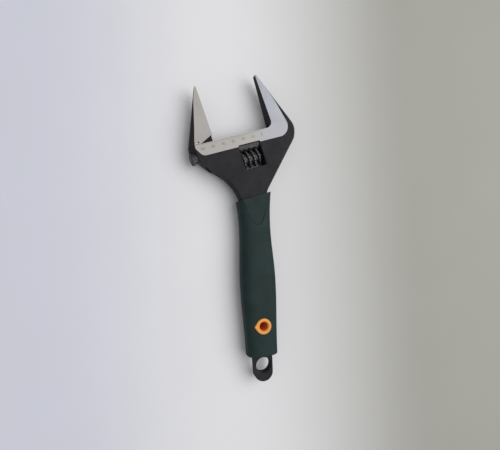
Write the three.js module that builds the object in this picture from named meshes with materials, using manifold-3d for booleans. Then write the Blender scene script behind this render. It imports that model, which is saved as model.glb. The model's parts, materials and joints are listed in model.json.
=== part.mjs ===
// Adjustable wrench with long thin jaws, a rubber grip and a hanging eye, in millimetres.
// The pieces are drawn in the head's own frame: +X along the slide towards the fixed jaw, +Y along
// the jaws towards their tips, +Z up. Zero is the foot of the fixed jaw's face, at half thickness.
// The whole is then turned, so that the handle runs along X with the hanging eye at the low end.
import * as THREE from "three";
import { mergeVertices } from "three/addons/utils/BufferGeometryUtils.js";
import Module from "manifold-3d";

const wasm = await Module();
wasm.setup();

// Driving sizes of the whole wrench
const jawOpening = 60.9;
const jawReach = 54.15;
const headAngleDegrees = 15.3;
const eyeDistance = 223.4;
const axisSetback = 21.3;
const runningGap = 0.3;
const overrun = 5;

// Jaws
const jawTipWidth = 1.2;
const jawTipThickness = 5.9;
const jawBackSlopeShare = 0.42;
const jawRootWidth = jawTipWidth + jawBackSlopeShare * jawReach;
const jawFaceFoot = 6.3;
const heelRun = 12.2;
const rootFilletRadius = 6.5;

// Head forging
const headThickness = 16;
const wallThickness = 7;
const padWidth = 11.15;
const padCornerRadius = 11;
const padEndRadius = 6;
const padEndLeanShare = 0.604;
const padEdgeSetout = 16.1;
const padEdgeSlopeShare = 0.2;
const forgedRecess = 0.4;
const elbowDrop = 8.5;
const elbowRadius = 17;
const elbowFaceInset = 2.6;
const endBevelDrop = 3.2;
const headHeelDrop = 14.5;
const headHeelInset = 5.1;
const headHeelRadius = 2;
const pinFlatInset = 12.9;
const pinFlatDrop = 24.5;
const pinFlatRadius = 8;
const sideFaceInset = 0.6;
const endFaceInset = 5;
const taperTopDrop = 2;
const backSlopeStart = 44;

// Neck, shank and hanging eye
const neckDistance = 165.5;
const neckLeftDistance = 172;
const neckHalfWidth = 12.2;
const neckBevel = 2.4;
const neckLeftRadius = 50;
const neckRightRadius = 17;
const neckTaperStart = 40;
const neckTaperEnd = 58;
const shankThickness = 12;
const shankTaperEnd = 14;
const eyeThickness = 8.3;
const eyePlateStart = 9;
const eyeHalfWidth = 9;
const eyeEndLength = 15.4;
const eyeHoleRadius = 7.3;

// Slide: round bar with rack teeth, and the web that carries the jaw
const slideRadius = 6;
const slideDrop = 10.55;
const slideLength = 70;
const slideOverhang = 1.2;
const webThickness = 6;

// Worm and its window
const windowWidth = 21.9;
const windowHeight = 23.6;
const windowSetback = 17.7;
const windowDrop = 10.15;
const windowCornerRadius = 0.8;
const wormDrop = 23.05;
const wormRadius = 8.8;
const wormRootRadius = 6.2;
const wormLength = 17.6;
const wormLead = 5.2;
const ridgeCrestWidth = 1.5;
const ridgeBaseWidth = 2.6;
const ridgeSetout = 4.8;
const notchCount = 16;
const notchDepth = 0.7;
const rackPlay = 0.35;

// Pin and spring
const pinRadius = 2.4;
const pinRecess = 4.5;
const pinSeat = 8;
const pinSlotWidth = 1;
const pinSlotDepth = 1.4;
const springWireRadius = 0.4;
const springCoilRadius = 3.65;
const springTurns = 3.25;
const springPocketDepth = 4;
const springPocketRadius = 4.7;

// Grip sleeve
const gripStart = 9.5;
const gripRimDrop = 60;
const gripBellyDistance = 78;
const gripWaistDistance = 132;
const gripMouthDistance = 170;
const gripEndHalfWidth = 15.05;
const gripBellyHalfWidth = 17.15;
const gripWaistHalfWidth = 15;
const gripMouthHalfWidth = 19.3;
const gripEndSway = 0.2;
const gripBellySway = 0.5;
const gripWaistSway = 0.9;
const gripMouthSway = 2.1;
const gripEndHalfHeight = 10;
const gripBellyHalfHeight = 10.9;
const gripWaistHalfHeight = 10;
const gripMouthHalfHeight = 10.9;
const gripEndRounding = 1.6;
const gripSquarenessPower = 3;
const facetTipDistance = 126.4;
const facetTipRadius = 4.7;
const facetSpreadShare = 0.414;
const facetMouthDepth = 2.8;
const facetTipDepth = 0.4;

// Eyelets
const eyeletDistance = 38.2;
const eyeletRadius = 7.4;
const eyeletPointReach = 9.6;
const eyeletHoleRadius = 4;
const eyeletTubeRadius = 5.3;
const eyeletFaceHeight = 11.3;
const eyeletFlangeThickness = 2;

// Fineness of the curves
const roundSides = 32;
const cornerSteps = 4;
const eyeSteps = 8;
const gripSides = 32;
const springSteps = 8;
const springSides = 5;
const ridgeStepsPerNotch = 3;

// Places worked out from the sizes
const headAngle = THREE.MathUtils.degToRad(headAngleDegrees);
const handleAlong = new THREE.Vector2(Math.sin(headAngle), Math.cos(headAngle));
const handleAcross = new THREE.Vector2(Math.cos(headAngle), -Math.sin(headAngle));
const headHalf = headThickness / 2;
const wallHalf = wallThickness / 2;
const forgedHalf = headHalf - forgedRecess;
const shankHalf = shankThickness / 2;
const movingFace = -jawOpening;
const movingRoot = movingFace - jawRootWidth;
const slideStart = movingRoot - slideOverhang;
const windowRight = -windowSetback;
const windowLeft = windowRight - windowWidth;
const windowBottom = -windowDrop - windowHeight;
const wormStart = windowLeft + runningGap;
const wormEnd = wormStart + wormLength;
const pinReach = windowRight + pinSeat;
const farLeft = movingRoot - overrun;
const farRight = jawRootWidth + elbowRadius;

// A place on the handle: along its axis from the hanging eye, and across it to the fixed jaw's side
function handlePoint(along, across) {
  const foot = new THREE.Vector2(-axisSetback, 0);
  return foot.addScaledVector(handleAlong, along - eyeDistance).addScaledVector(handleAcross, across);
}

// Outlines

function corner(x, y, radius = 0, steps = cornerSteps) {
  return { x, y, radius, steps };
}

function cornerAt(point, radius = 0, steps = cornerSteps) {
  return corner(point.x, point.y, radius, steps);
}

// Points of a closed outline through the corners, each rounded by a true arc of its own radius
function outlineOf(corners) {
  const points = [];
  corners.forEach((here, index) => {
    const before = corners[(index + corners.length - 1) % corners.length];
    const after = corners[(index + 1) % corners.length];
    const place = new THREE.Vector2(here.x, here.y);
    if (here.radius === 0) {
      points.push(place);
      return;
    }
    const arriving = place.clone().sub(before).normalize();
    const leaving = new THREE.Vector2(after.x, after.y).sub(place).normalize();
    const turn = Math.atan2(arriving.cross(leaving), arriving.dot(leaving));
    const start = place.clone().addScaledVector(arriving, -here.radius * Math.tan(Math.abs(turn) / 2));
    const inward = new THREE.Vector2(-arriving.y, arriving.x).multiplyScalar(Math.sign(turn));
    const centre = start.clone().addScaledVector(inward, here.radius);
    for (let step = 0; step <= here.steps; step += 1) {
      points.push(start.clone().rotateAround(centre, (turn * step) / here.steps));
    }
  });
  return points;
}

function rectangle(left, bottom, right, top, radius = 0) {
  return outlineOf([
    corner(left, bottom, radius),
    corner(right, bottom, radius),
    corner(right, top, radius),
    corner(left, top, radius),
  ]);
}

// Solids

// Closed geometry through rings of equally many points; capFaces fills the flat rings at both ends
function loft(rings, capFaces) {
  const count = rings[0].length;
  const last = (rings.length - 1) * count;
  const faces = [];
  for (let level = 0; level < last; level += count) {
    for (let index = 0; index < count; index += 1) {
      const next = (index + 1) % count;
      faces.push(level + index, level + next, level + count + next);
      faces.push(level + index, level + count + next, level + count + index);
    }
  }
  capFaces.forEach(([a, b, c]) => {
    faces.push(c, b, a);
    faces.push(last + a, last + b, last + c);
  });
  const geometry = new THREE.BufferGeometry().setFromPoints(rings.flat());
  geometry.setIndex(faces);
  return geometry;
}

function fanFaces(count) {
  return Array.from({ length: count - 2 }, (_, index) => [0, index + 1, index + 2]);
}

// Closed geometry from flat outlines of equally many points, stacked at rising heights
function stack(levels) {
  const backwards = THREE.ShapeUtils.area(levels[0].outline) < 0;
  const outlines = levels.map(({ outline }) => (backwards ? [...outline].reverse() : outline));
  const rings = outlines.map((outline, index) =>
    outline.map((point) => new THREE.Vector3(point.x, point.y, levels[index].height)));
  return loft(rings, THREE.ShapeUtils.triangulateShape(outlines[0], []));
}

function prism(outline, low, high) {
  return stack([{ outline, height: low }, { outline, height: high }]);
}

function solidOf(geometry) {
  const bare = geometry.clone();
  bare.deleteAttribute("normal");
  bare.deleteAttribute("uv");
  const merged = mergeVertices(bare);
  return new wasm.Manifold(new wasm.Mesh({
    numProp: 3,
    vertProperties: new Float32Array(merged.getAttribute("position").array),
    triVerts: new Uint32Array(merged.index.array),
  }));
}

function geometryOf(solid) {
  const mesh = solid.getMesh();
  const geometry = new THREE.BufferGeometry();
  geometry.setAttribute("position", new THREE.BufferAttribute(new Float32Array(mesh.vertProperties), 3));
  geometry.setIndex(new THREE.BufferAttribute(new Uint32Array(mesh.triVerts), 1));
  geometry.computeVertexNormals();
  return geometry;
}

function join(...geometries) {
  return geometries.map(solidOf).reduce((whole, next) => whole.add(next));
}

function cut(solid, ...geometries) {
  return geometries.map(solidOf).reduce((whole, next) => whole.subtract(next), solid);
}

// Round bar along X at a given height on the jaws' axis
function barAlongX(radius, left, right, y) {
  const geometry = new THREE.CylinderGeometry(radius, radius, right - left, roundSides);
  geometry.rotateZ(Math.PI / 2);
  geometry.translate((left + right) / 2, y, 0);
  return geometry;
}

// Round bar along Z through a point of the plan
function barAlongZ(radius, point, low, high) {
  const geometry = new THREE.CylinderGeometry(radius, radius, high - low, roundSides);
  geometry.rotateX(Math.PI / 2);
  geometry.translate(point.x, point.y, (low + high) / 2);
  return geometry;
}

function block(left, bottom, right, top, low, high) {
  return prism(rectangle(left, bottom, right, top), low, high);
}

// Body

// Outline of the forging where its side walls stand, with the handle's part widened by growth
function wallCorners(growth = 0) {
  const eyeEnd = -eyeEndLength - growth;
  const eyeSide = eyeHalfWidth + growth;
  const neckSide = neckHalfWidth + growth;
  return [
    corner(0, jawReach),
    corner(0, 0, rootFilletRadius),
    corner(movingRoot, 0),
    corner(movingRoot, -endBevelDrop),
    corner(movingRoot + headHeelInset, -headHeelDrop, headHeelRadius),
    corner(movingRoot + pinFlatInset, -pinFlatDrop, pinFlatRadius),
    cornerAt(handlePoint(neckLeftDistance, -neckSide), neckLeftRadius, eyeSteps),
    cornerAt(handlePoint(eyeEnd, -eyeSide), eyeSide, eyeSteps),
    cornerAt(handlePoint(eyeEnd, eyeSide), eyeSide, eyeSteps),
    cornerAt(handlePoint(neckDistance, neckSide), neckRightRadius),
    corner(jawRootWidth + jawBackSlopeShare * elbowDrop, -elbowDrop, elbowRadius, eyeSteps),
    corner(jawRootWidth - jawBackSlopeShare * backSlopeStart, backSlopeStart),
    corner(jawTipWidth, jawReach),
  ];
}

// The same outline where the slopes above the walls reach the head's flat faces
function faceCorners() {
  const eyeSide = eyeHalfWidth - neckBevel;
  const neckSide = neckHalfWidth - neckBevel;
  const elbow = jawRootWidth + jawBackSlopeShare * elbowDrop - elbowFaceInset;
  return [
    corner(0, jawReach),
    corner(0, 0, rootFilletRadius),
    corner(movingRoot + endFaceInset, 0),
    corner(movingRoot + endFaceInset, -endBevelDrop),
    corner(movingRoot + headHeelInset + sideFaceInset, -headHeelDrop, headHeelRadius),
    corner(movingRoot + pinFlatInset + sideFaceInset, -pinFlatDrop, pinFlatRadius),
    cornerAt(handlePoint(neckLeftDistance, -neckSide), neckLeftRadius, eyeSteps),
    cornerAt(handlePoint(neckBevel - eyeEndLength, -eyeSide), eyeSide, eyeSteps),
    cornerAt(handlePoint(neckBevel - eyeEndLength, eyeSide), eyeSide, eyeSteps),
    cornerAt(handlePoint(neckDistance, neckSide), neckRightRadius),
    corner(elbow, -elbowDrop, elbowRadius, eyeSteps),
    corner(jawTipWidth / 2, backSlopeStart),
    corner(jawTipWidth / 2, jawReach),
  ];
}

// Walls in the middle of the thickness, with slopes from them to both flat faces
function slopedStack(walls, faces) {
  return stack([
    { outline: faces, height: -headHalf },
    { outline: walls, height: -wallHalf },
    { outline: walls, height: wallHalf },
    { outline: faces, height: headHalf },
  ]);
}

// Solid that runs the whole width along X, from its side view drawn as (y, z)
function acrossHead(sideView) {
  const turn = new THREE.Matrix4().makeBasis(
    new THREE.Vector3(0, 1, 0),
    new THREE.Vector3(0, 0, 1),
    new THREE.Vector3(1, 0, 0),
  );
  return prism(sideView, farLeft - farRight, farRight + farRight).applyMatrix4(turn);
}

// Half thickness of the jaws where they end above the tips
function beyondTip() {
  const tip = jawTipThickness / 2;
  return tip - ((headHalf - tip) / (jawReach - taperTopDrop)) * overrun;
}

// Slab whose thickness follows the forging: thin at the jaw tips, full at the head, thin at the eye
function thicknessSlab(growth = 0) {
  const full = headHalf + growth;
  const shank = shankHalf + growth;
  const eye = eyeThickness / 2 + growth;
  const upper = [
    new THREE.Vector2(jawReach + overrun, beyondTip()),
    new THREE.Vector2(taperTopDrop, full),
    new THREE.Vector2(-neckTaperStart, full),
    new THREE.Vector2(-neckTaperEnd, shank),
    new THREE.Vector2(handlePoint(shankTaperEnd, 0).y, shank),
    new THREE.Vector2(handlePoint(eyePlateStart, 0).y, eye),
    new THREE.Vector2(handlePoint(-eyeEndLength, 0).y - overrun, eye),
  ];
  const lower = upper.map((point) => new THREE.Vector2(point.x, -point.y)).reverse();
  return acrossHead([...upper, ...lower]);
}

// Ground pad along the throat and the jaws; the forged black faces lie a little below it
function padOutline() {
  const endTop = movingRoot + endFaceInset;
  const endFoot = endTop + padEndLeanShare * (padWidth - endBevelDrop);
  const top = jawReach + overrun;
  return outlineOf([
    corner(farLeft, top),
    corner(farLeft, -endBevelDrop),
    corner(endTop, -endBevelDrop),
    corner(endFoot, -padWidth, padEndRadius),
    corner(padEdgeSetout + padEdgeSlopeShare * padWidth, -padWidth, padCornerRadius, eyeSteps),
    corner(padEdgeSetout - padEdgeSlopeShare * top, top),
  ]);
}

function forgedRecessSlab() {
  const top = jawReach + overrun;
  const bottom = handlePoint(-eyeEndLength, 0).y - overrun;
  const slab = acrossHead([
    new THREE.Vector2(top, beyondTip() - forgedRecess),
    new THREE.Vector2(top, headHalf + overrun),
    new THREE.Vector2(bottom, headHalf + overrun),
    new THREE.Vector2(bottom, forgedHalf),
    new THREE.Vector2(taperTopDrop, forgedHalf),
  ]);
  return geometryOf(cut(solidOf(facingOut(slab)), prism(padOutline(), 0, headHalf + overrun + overrun)));
}

function makeBody() {
  const forging = slopedStack(outlineOf(wallCorners()), outlineOf(faceCorners()));
  const shaped = solidOf(forging).intersect(solidOf(thicknessSlab()));
  const recess = forgedRecessSlab();
  const lowerRecess = recess.clone().rotateX(Math.PI).scale(1, -1, 1);
  lowerRecess.setIndex([...lowerRecess.index.array].reverse());
  const slideBore = slideRadius + runningGap;
  const slotHalf = webThickness / 2 + runningGap;
  const pinBore = pinRadius + runningGap;
  const tall = headHalf + overrun;
  return cut(
    shaped,
    recess,
    lowerRecess,
    prism(rectangle(windowLeft, windowBottom, windowRight, -windowDrop, windowCornerRadius), -tall, tall),
    barAlongX(slideBore, farLeft, farRight, -slideDrop),
    block(farLeft, -slideDrop, 0, rootFilletRadius + overrun, -slotHalf, slotHalf),
    barAlongX(pinBore, farLeft, pinReach + runningGap, -wormDrop),
    barAlongZ(eyeHoleRadius, handlePoint(0, 0), -tall, tall),
    barAlongZ(eyeletTubeRadius + runningGap, handlePoint(eyeletDistance, 0), -tall, tall),
  );
}

// Movable jaw

function bladeOutlines() {
  const foot = runningGap;
  const walls = [
    corner(movingFace, jawReach),
    corner(movingFace - jawTipWidth, jawReach),
    corner(movingRoot, foot),
    corner(movingFace - heelRun, foot),
    corner(movingFace, jawFaceFoot),
  ];
  const faces = [
    corner(movingFace, jawReach),
    corner(movingFace - jawTipWidth / 2, jawReach),
    corner(movingRoot + endFaceInset, foot),
    corner(movingFace - heelRun, foot),
    corner(movingFace, jawFaceFoot),
  ];
  return [outlineOf(walls), outlineOf(faces)];
}

function webOutline() {
  return outlineOf([
    corner(movingFace, jawFaceFoot + runningGap),
    corner(movingRoot + endFaceInset, jawFaceFoot),
    corner(movingRoot, runningGap),
    corner(slideStart, -slideDrop),
    corner(movingFace, -slideDrop),
  ]);
}

// Cutter for one gap between rack teeth, leaning with the worm's thread
function rackGap(middle) {
  const gapTop = wormRadius + rackPlay - wormDrop;
  const crestHalf = ridgeCrestWidth / 2 + rackPlay;
  const flankShare = (ridgeBaseWidth - ridgeCrestWidth) / 2 / (wormRadius - wormRootRadius);
  const depth = gapTop + slideDrop + slideRadius + runningGap;
  const mouthHalf = crestHalf + flankShare * depth;
  const outline = outlineOf([
    corner(-crestHalf, gapTop),
    corner(-mouthHalf, gapTop - depth),
    corner(mouthHalf, gapTop - depth),
    corner(crestHalf, gapTop),
  ]);
  const lean = wormLead / (2 * Math.PI * wormRadius);
  const cutter = prism(outline, -slideRadius, slideRadius);
  const shear = new THREE.Matrix4().set(1, 0, lean, middle, 0, 1, 0, 0, 0, 0, 1, 0, 0, 0, 0, 1);
  return cutter.applyMatrix4(shear);
}

function rackGaps() {
  const firstRidge = wormStart + ridgeSetout;
  const before = Math.ceil((firstRidge - slideStart) / wormLead);
  const gaps = [];
  const slideEnd = slideStart + slideLength;
  for (let middle = firstRidge - before * wormLead; middle < slideEnd; middle += wormLead) {
    gaps.push(rackGap(middle));
  }
  return gaps;
}

function makeMovableJaw() {
  const [walls, faces] = bladeOutlines();
  const blade = solidOf(slopedStack(walls, faces)).intersect(solidOf(thicknessSlab()));
  const web = solidOf(prism(webOutline(), -webThickness / 2, webThickness / 2));
  const slide = solidOf(barAlongX(slideRadius, slideStart, slideStart + slideLength, -slideDrop));
  return cut(blade.add(web).add(slide), ...rackGaps());
}

// Worm

// Helical ridge with notched crest; its turns follow the right-hand rule about +X
function wormRidge() {
  const stepsPerTurn = notchCount * ridgeStepsPerNotch;
  const turnsBefore = Math.ceil(ridgeSetout / wormLead);
  const turns = Math.ceil(wormLength / wormLead) + turnsBefore + 1;
  const rings = [];
  for (let step = 0; step <= turns * stepsPerTurn; step += 1) {
    const turn = step / stepsPerTurn - turnsBefore;
    const middle = wormStart + ridgeSetout + turn * wormLead;
    const notch = step % ridgeStepsPerNotch === 0 ? notchDepth : 0;
    const crest = wormRadius - notch;
    const foot = wormRootRadius - runningGap;
    const angle = turn * 2 * Math.PI;
    const place = (offset, radius) =>
      new THREE.Vector3(middle + offset, radius * Math.cos(angle) - wormDrop, radius * Math.sin(angle));
    rings.push([
      place(-ridgeBaseWidth / 2, foot),
      place(-ridgeCrestWidth / 2, crest),
      place(ridgeCrestWidth / 2, crest),
      place(ridgeBaseWidth / 2, foot),
    ]);
  }
  return loft(rings, fanFaces(rings[0].length));
}

// Solids whose faces came out pointing in are turned inside out
function facingOut(geometry) {
  const place = geometry.getAttribute("position");
  const order = geometry.index.array;
  let volume = 0;
  for (let face = 0; face < order.length; face += 3) {
    const [a, b, c] = [0, 1, 2].map((k) => new THREE.Vector3().fromBufferAttribute(place, order[face + k]));
    volume += a.dot(b.cross(c));
  }
  if (volume < 0) {
    geometry.setIndex([...order].reverse());
  }
  return geometry;
}

function makeWorm() {
  const core = barAlongX(wormRootRadius, wormStart - overrun, wormEnd + overrun, -wormDrop);
  const limit = barAlongX(wormRadius + overrun, wormStart, wormEnd, -wormDrop);
  const threaded = join(core, facingOut(wormRidge())).intersect(solidOf(limit));
  const bore = barAlongX(pinRadius + runningGap, wormStart - overrun, wormEnd + overrun, -wormDrop);
  const pocket = barAlongX(springPocketRadius, wormEnd - springPocketDepth, wormEnd + overrun, -wormDrop);
  return cut(threaded, bore, pocket);
}

// Where the pin's slotted end lies, a little inside the head's slanted edge
function pinStart() {
  const heel = new THREE.Vector2(movingRoot + headHeelInset, -headHeelDrop);
  const flat = new THREE.Vector2(movingRoot + pinFlatInset, -pinFlatDrop);
  const edge = THREE.MathUtils.mapLinear(-wormDrop, heel.y, flat.y, heel.x, flat.x);
  return edge + pinRecess;
}

function makePin() {
  const start = pinStart();
  const bar = barAlongX(pinRadius, start, pinReach, -wormDrop);
  const slot = block(
    start - overrun,
    -wormDrop - pinSlotWidth / 2,
    start + pinSlotDepth,
    -wormDrop + pinSlotWidth / 2,
    -pinRadius - overrun,
    pinRadius + overrun,
  );
  return cut(solidOf(bar), slot);
}

// Tube of few sides along a route of points
function tubeAlong(points, radius, sides) {
  const rings = [];
  let side = new THREE.Vector3(0, 0, 1);
  points.forEach((point, index) => {
    const before = points[Math.max(index - 1, 0)];
    const after = points[Math.min(index + 1, points.length - 1)];
    const arriving = point.clone().sub(before).normalize();
    const leaving = after.clone().sub(point).normalize();
    const along = arriving.add(leaving).normalize();
    side = side.clone().addScaledVector(along, -side.dot(along)).normalize();
    const other = along.clone().cross(side);
    rings.push(Array.from({ length: sides }, (_, k) => {
      const angle = (2 * Math.PI * k) / sides;
      return point.clone()
        .addScaledVector(side, radius * Math.cos(angle))
        .addScaledVector(other, radius * Math.sin(angle));
    }));
  });
  return facingOut(loft(rings, fanFaces(sides)));
}

function springRoute() {
  const start = wormEnd - springPocketDepth + runningGap;
  const end = windowRight - runningGap;
  const straight = 2 * springWireRadius;
  const coilLength = end - start - 2 * straight;
  const place = (x, angle) => new THREE.Vector3(
    x,
    springCoilRadius * Math.cos(angle) - wormDrop,
    springCoilRadius * Math.sin(angle),
  );
  const steps = Math.round(springTurns * springSteps);
  const lastAngle = (steps * 2 * Math.PI) / springSteps;
  const route = [place(start, 0)];
  for (let step = 0; step <= steps; step += 1) {
    route.push(place(start + straight + (coilLength * step) / steps, (step * 2 * Math.PI) / springSteps));
  }
  route.push(place(end, lastAngle));
  return route;
}

// Least gap between turns that lie at least half a turn apart along the wire
function leastGap(route) {
  let least = Infinity;
  for (let one = 0; one < route.length; one += 1) {
    for (let other = one + springSteps / 2; other < route.length; other += 1) {
      least = Math.min(least, route[one].distanceTo(route[other]) - 2 * springWireRadius);
    }
  }
  return least;
}

function makeSpring() {
  const route = springRoute();
  console.log(`worm_spring: least gap to itself ${leastGap(route).toFixed(2)} mm`);
  return solidOf(tubeAlong(route, springWireRadius, springSides));
}

// Grip

function ease(from, to, share) {
  return from + ((to - from) * (1 - Math.cos(Math.PI * share))) / 2;
}

// A size that swells from the end to the belly, draws in to the waist and flares to the mouth
function swelling(along, end, belly, waist, mouth) {
  if (along < gripBellyDistance) {
    return ease(end, belly, (along - gripStart) / (gripBellyDistance - gripStart));
  }
  if (along < gripWaistDistance) {
    const share = (along - gripBellyDistance) / (gripWaistDistance - gripBellyDistance);
    return ease(belly, waist, share);
  }
  const share = (along - gripWaistDistance) / (gripMouthDistance - gripWaistDistance);
  return waist + (mouth - waist) * share * share;
}

function gripHalfWidth(along) {
  return swelling(along, gripEndHalfWidth, gripBellyHalfWidth, gripWaistHalfWidth, gripMouthHalfWidth);
}

function gripHalfHeight(along) {
  return swelling(along, gripEndHalfHeight, gripBellyHalfHeight, gripWaistHalfHeight, gripMouthHalfHeight);
}

// Rounded box section across the handle, set at a distance along it
function gripRing(along, shrink) {
  const halfWidth = gripHalfWidth(along) - shrink;
  const halfHeight = gripHalfHeight(along) - shrink;
  const sway = swelling(along, gripEndSway, gripBellySway, gripWaistSway, gripMouthSway);
  const squared = (value) => Math.sign(value) * Math.abs(value) ** (2 / gripSquarenessPower);
  return Array.from({ length: gripSides }, (_, index) => {
    const angle = (2 * Math.PI * index) / gripSides;
    const place = handlePoint(along, halfWidth * squared(Math.cos(angle)) - sway);
    return new THREE.Vector3(place.x, place.y, halfHeight * squared(Math.sin(angle)));
  });
}

function gripHull() {
  const ringCount = 14;
  const firstStep = gripEndRounding / 3;
  const rings = [gripRing(gripStart, gripEndRounding), gripRing(gripStart + firstStep, firstStep)];
  const first = gripStart + gripEndRounding;
  for (let index = 0; index <= ringCount; index += 1) {
    rings.push(gripRing(THREE.MathUtils.lerp(first, gripMouthDistance, index / ringCount), 0));
  }
  return facingOut(loft(rings, fanFaces(gripSides)));
}

// Flat arrow-shaped panel at the mouth, cut by a plane that sinks towards the rim
function facetCutter(side) {
  const length = 2 * (gripMouthDistance - facetTipDistance);
  const half = facetSpreadShare * length;
  const plan = outlineOf([
    cornerAt(handlePoint(facetTipDistance, 0), facetTipRadius),
    cornerAt(handlePoint(facetTipDistance + length, half)),
    cornerAt(handlePoint(facetTipDistance + length, -half)),
  ]);
  const tipHeight = gripHalfHeight(facetTipDistance) - facetTipDepth;
  const rimHeight = gripHalfHeight(neckDistance) - facetMouthDepth;
  const fall = (rimHeight - tipHeight) / (neckDistance - facetTipDistance);
  const level = tipHeight - fall * (facetTipDistance - eyeDistance);
  const origin = level + fall * axisSetback * handleAlong.x;
  const cutter = prism(plan, 0, headThickness);
  const slant = new THREE.Matrix4().set(
    1, 0, 0, 0,
    0, 1, 0, 0,
    side * fall * handleAlong.x, side * fall * handleAlong.y, side, side * origin,
    0, 0, 0, 1,
  );
  return facingOut(cutter.applyMatrix4(slant));
}

function makeGrip() {
  const bottom = handlePoint(-eyeEndLength, 0).y - overrun;
  const belowRim = block(farLeft - farRight, bottom, farRight, -gripRimDrop, -headThickness, headThickness);
  const hull = solidOf(gripHull()).intersect(solidOf(belowRim));
  const cavityWalls = prism(outlineOf(wallCorners(runningGap)), -headHalf, headHalf);
  const cavity = solidOf(cavityWalls).intersect(solidOf(thicknessSlab(runningGap)));
  const place = handlePoint(eyeletDistance, 0);
  const pocketFloor = eyeletFaceHeight - eyeletFlangeThickness - runningGap;
  const pocket = eyeletOutline(runningGap);
  return cut(
    hull.subtract(cavity),
    facetCutter(1),
    facetCutter(-1),
    prism(pocket, pocketFloor, headThickness),
    prism(pocket, -headThickness, -pocketFloor),
    barAlongZ(eyeletTubeRadius + runningGap, place, -headThickness, headThickness),
  );
}

// Eyelets

// Drop shape: a circle with a point towards the movable jaw's side
function eyeletOutline(growth = 0) {
  const radius = eyeletRadius + growth;
  const reach = eyeletPointReach + growth * (eyeletPointReach / eyeletRadius);
  const half = Math.acos(radius / reach);
  const steps = gripSides - cornerSteps;
  const points = [handlePoint(eyeletDistance, -reach)];
  for (let step = 0; step <= steps; step += 1) {
    const angle = Math.PI + half + ((2 * Math.PI - 2 * half) * step) / steps;
    points.push(handlePoint(eyeletDistance + radius * Math.sin(angle), radius * Math.cos(angle)));
  }
  return points;
}

function makeEyelet(side) {
  const place = handlePoint(eyeletDistance, 0);
  const flange = prism(eyeletOutline(), eyeletFaceHeight - eyeletFlangeThickness, eyeletFaceHeight);
  const tubeTop = eyeletFaceHeight - eyeletFlangeThickness / 2;
  const tube = barAlongZ(eyeletTubeRadius, place, runningGap / 2, tubeTop);
  const hole = barAlongZ(eyeletHoleRadius, place, -overrun, headThickness);
  const geometry = geometryOf(cut(join(flange, tube), hole));
  if (side < 0) {
    geometry.scale(1, 1, -1);
  }
  return solidOf(facingOut(geometry));
}

// Materials

function paint(colour, roughness, metalness) {
  return new THREE.MeshStandardMaterial({ color: colour, roughness, metalness });
}

const blackSteel = paint("#2b2a2e", 0.5, 0.7);
const groundSteel = paint("#a9a5a0", 0.35, 0.9);
const wormSteel = paint("#3a393b", 0.4, 0.8);
const pinSteel = paint("#55545a", 0.4, 0.9);
const springSteel = paint("#77777c", 0.35, 0.9);
const greenRubber = paint("#1f3433", 0.75, 0);
const orangePlastic = paint("#d9822b", 0.45, 0);

// Assembly

const turned = new THREE.Group();
turned.rotation.z = headAngle - Math.PI / 2;

function addPiece(name, solid, material) {
  const piece = new THREE.Mesh(geometryOf(solid), material);
  piece.name = name;
  turned.add(piece);
}

addPiece("body", makeBody(), blackSteel);
addPiece("movable_jaw", makeMovableJaw(), groundSteel);
addPiece("worm", makeWorm(), wormSteel);
addPiece("worm_pin", makePin(), pinSteel);
addPiece("worm_spring", makeSpring(), springSteel);
addPiece("grip", makeGrip(), greenRubber);
addPiece("eyelet_front", makeEyelet(1), orangePlastic);
addPiece("eyelet_back", makeEyelet(-1), orangePlastic);

// The origin is under the middle of the whole, on the surface that it lies on
const wrench = new THREE.Group();
wrench.add(turned);
wrench.updateMatrixWorld(true);
const box = new THREE.Box3().setFromObject(wrench, true);
wrench.position.set(-(box.min.x + box.max.x) / 2, -(box.min.y + box.max.y) / 2, -box.min.z);

export default wrench;
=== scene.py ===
# Dressed model of an adjustable wrench with thin wide jaws, a rubber grip and a hanging eye.
# Shapes are made in the head's own frame: X along the slide towards the fixed jaw, Y along the
# jaws towards their tips, Z up, with zero at the foot of the fixed jaw's face. They are then
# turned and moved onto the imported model, whose handle runs along X.

import json
from math import acos, atan2, ceil, cos, pi, radians, sin, tan

import bmesh
import bpy
from mathutils import Matrix, Vector


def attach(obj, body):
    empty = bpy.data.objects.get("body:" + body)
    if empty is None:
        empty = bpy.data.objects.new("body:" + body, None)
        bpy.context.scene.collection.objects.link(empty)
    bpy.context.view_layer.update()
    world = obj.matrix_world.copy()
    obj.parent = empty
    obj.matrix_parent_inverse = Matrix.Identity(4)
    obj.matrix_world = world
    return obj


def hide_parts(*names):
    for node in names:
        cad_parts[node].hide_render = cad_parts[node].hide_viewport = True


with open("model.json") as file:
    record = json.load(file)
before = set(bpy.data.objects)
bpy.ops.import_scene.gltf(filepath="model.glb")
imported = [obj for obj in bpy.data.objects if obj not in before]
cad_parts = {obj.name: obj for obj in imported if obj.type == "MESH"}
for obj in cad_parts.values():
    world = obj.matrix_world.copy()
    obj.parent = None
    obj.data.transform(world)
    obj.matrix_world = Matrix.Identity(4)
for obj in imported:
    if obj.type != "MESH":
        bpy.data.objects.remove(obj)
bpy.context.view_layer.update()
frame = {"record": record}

bl_info = {
    "name": "Adjustable wrench",
    "version": (1, 0, 0),
    "blender": (4, 5, 0),
    "location": "3D View > Sidebar > Wrench",
    "description": "Makes the dressed pieces of an adjustable wrench on its packed frame",
    "category": "Add Mesh",
}


# Kinds of setting

def length(name, description, default):
    return bpy.props.FloatProperty(
        name=name, description=description, default=default, precision=5, unit="LENGTH", subtype="DISTANCE"
    )


def turn(name, description, default):
    return bpy.props.FloatProperty(
        name=name, description=description, default=radians(default), unit="ROTATION", subtype="ANGLE"
    )


def share(name, description, default):
    return bpy.props.FloatProperty(name=name, description=description, default=default, subtype="FACTOR")


def count(name, description, default):
    return bpy.props.IntProperty(name=name, description=description, default=default)


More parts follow.
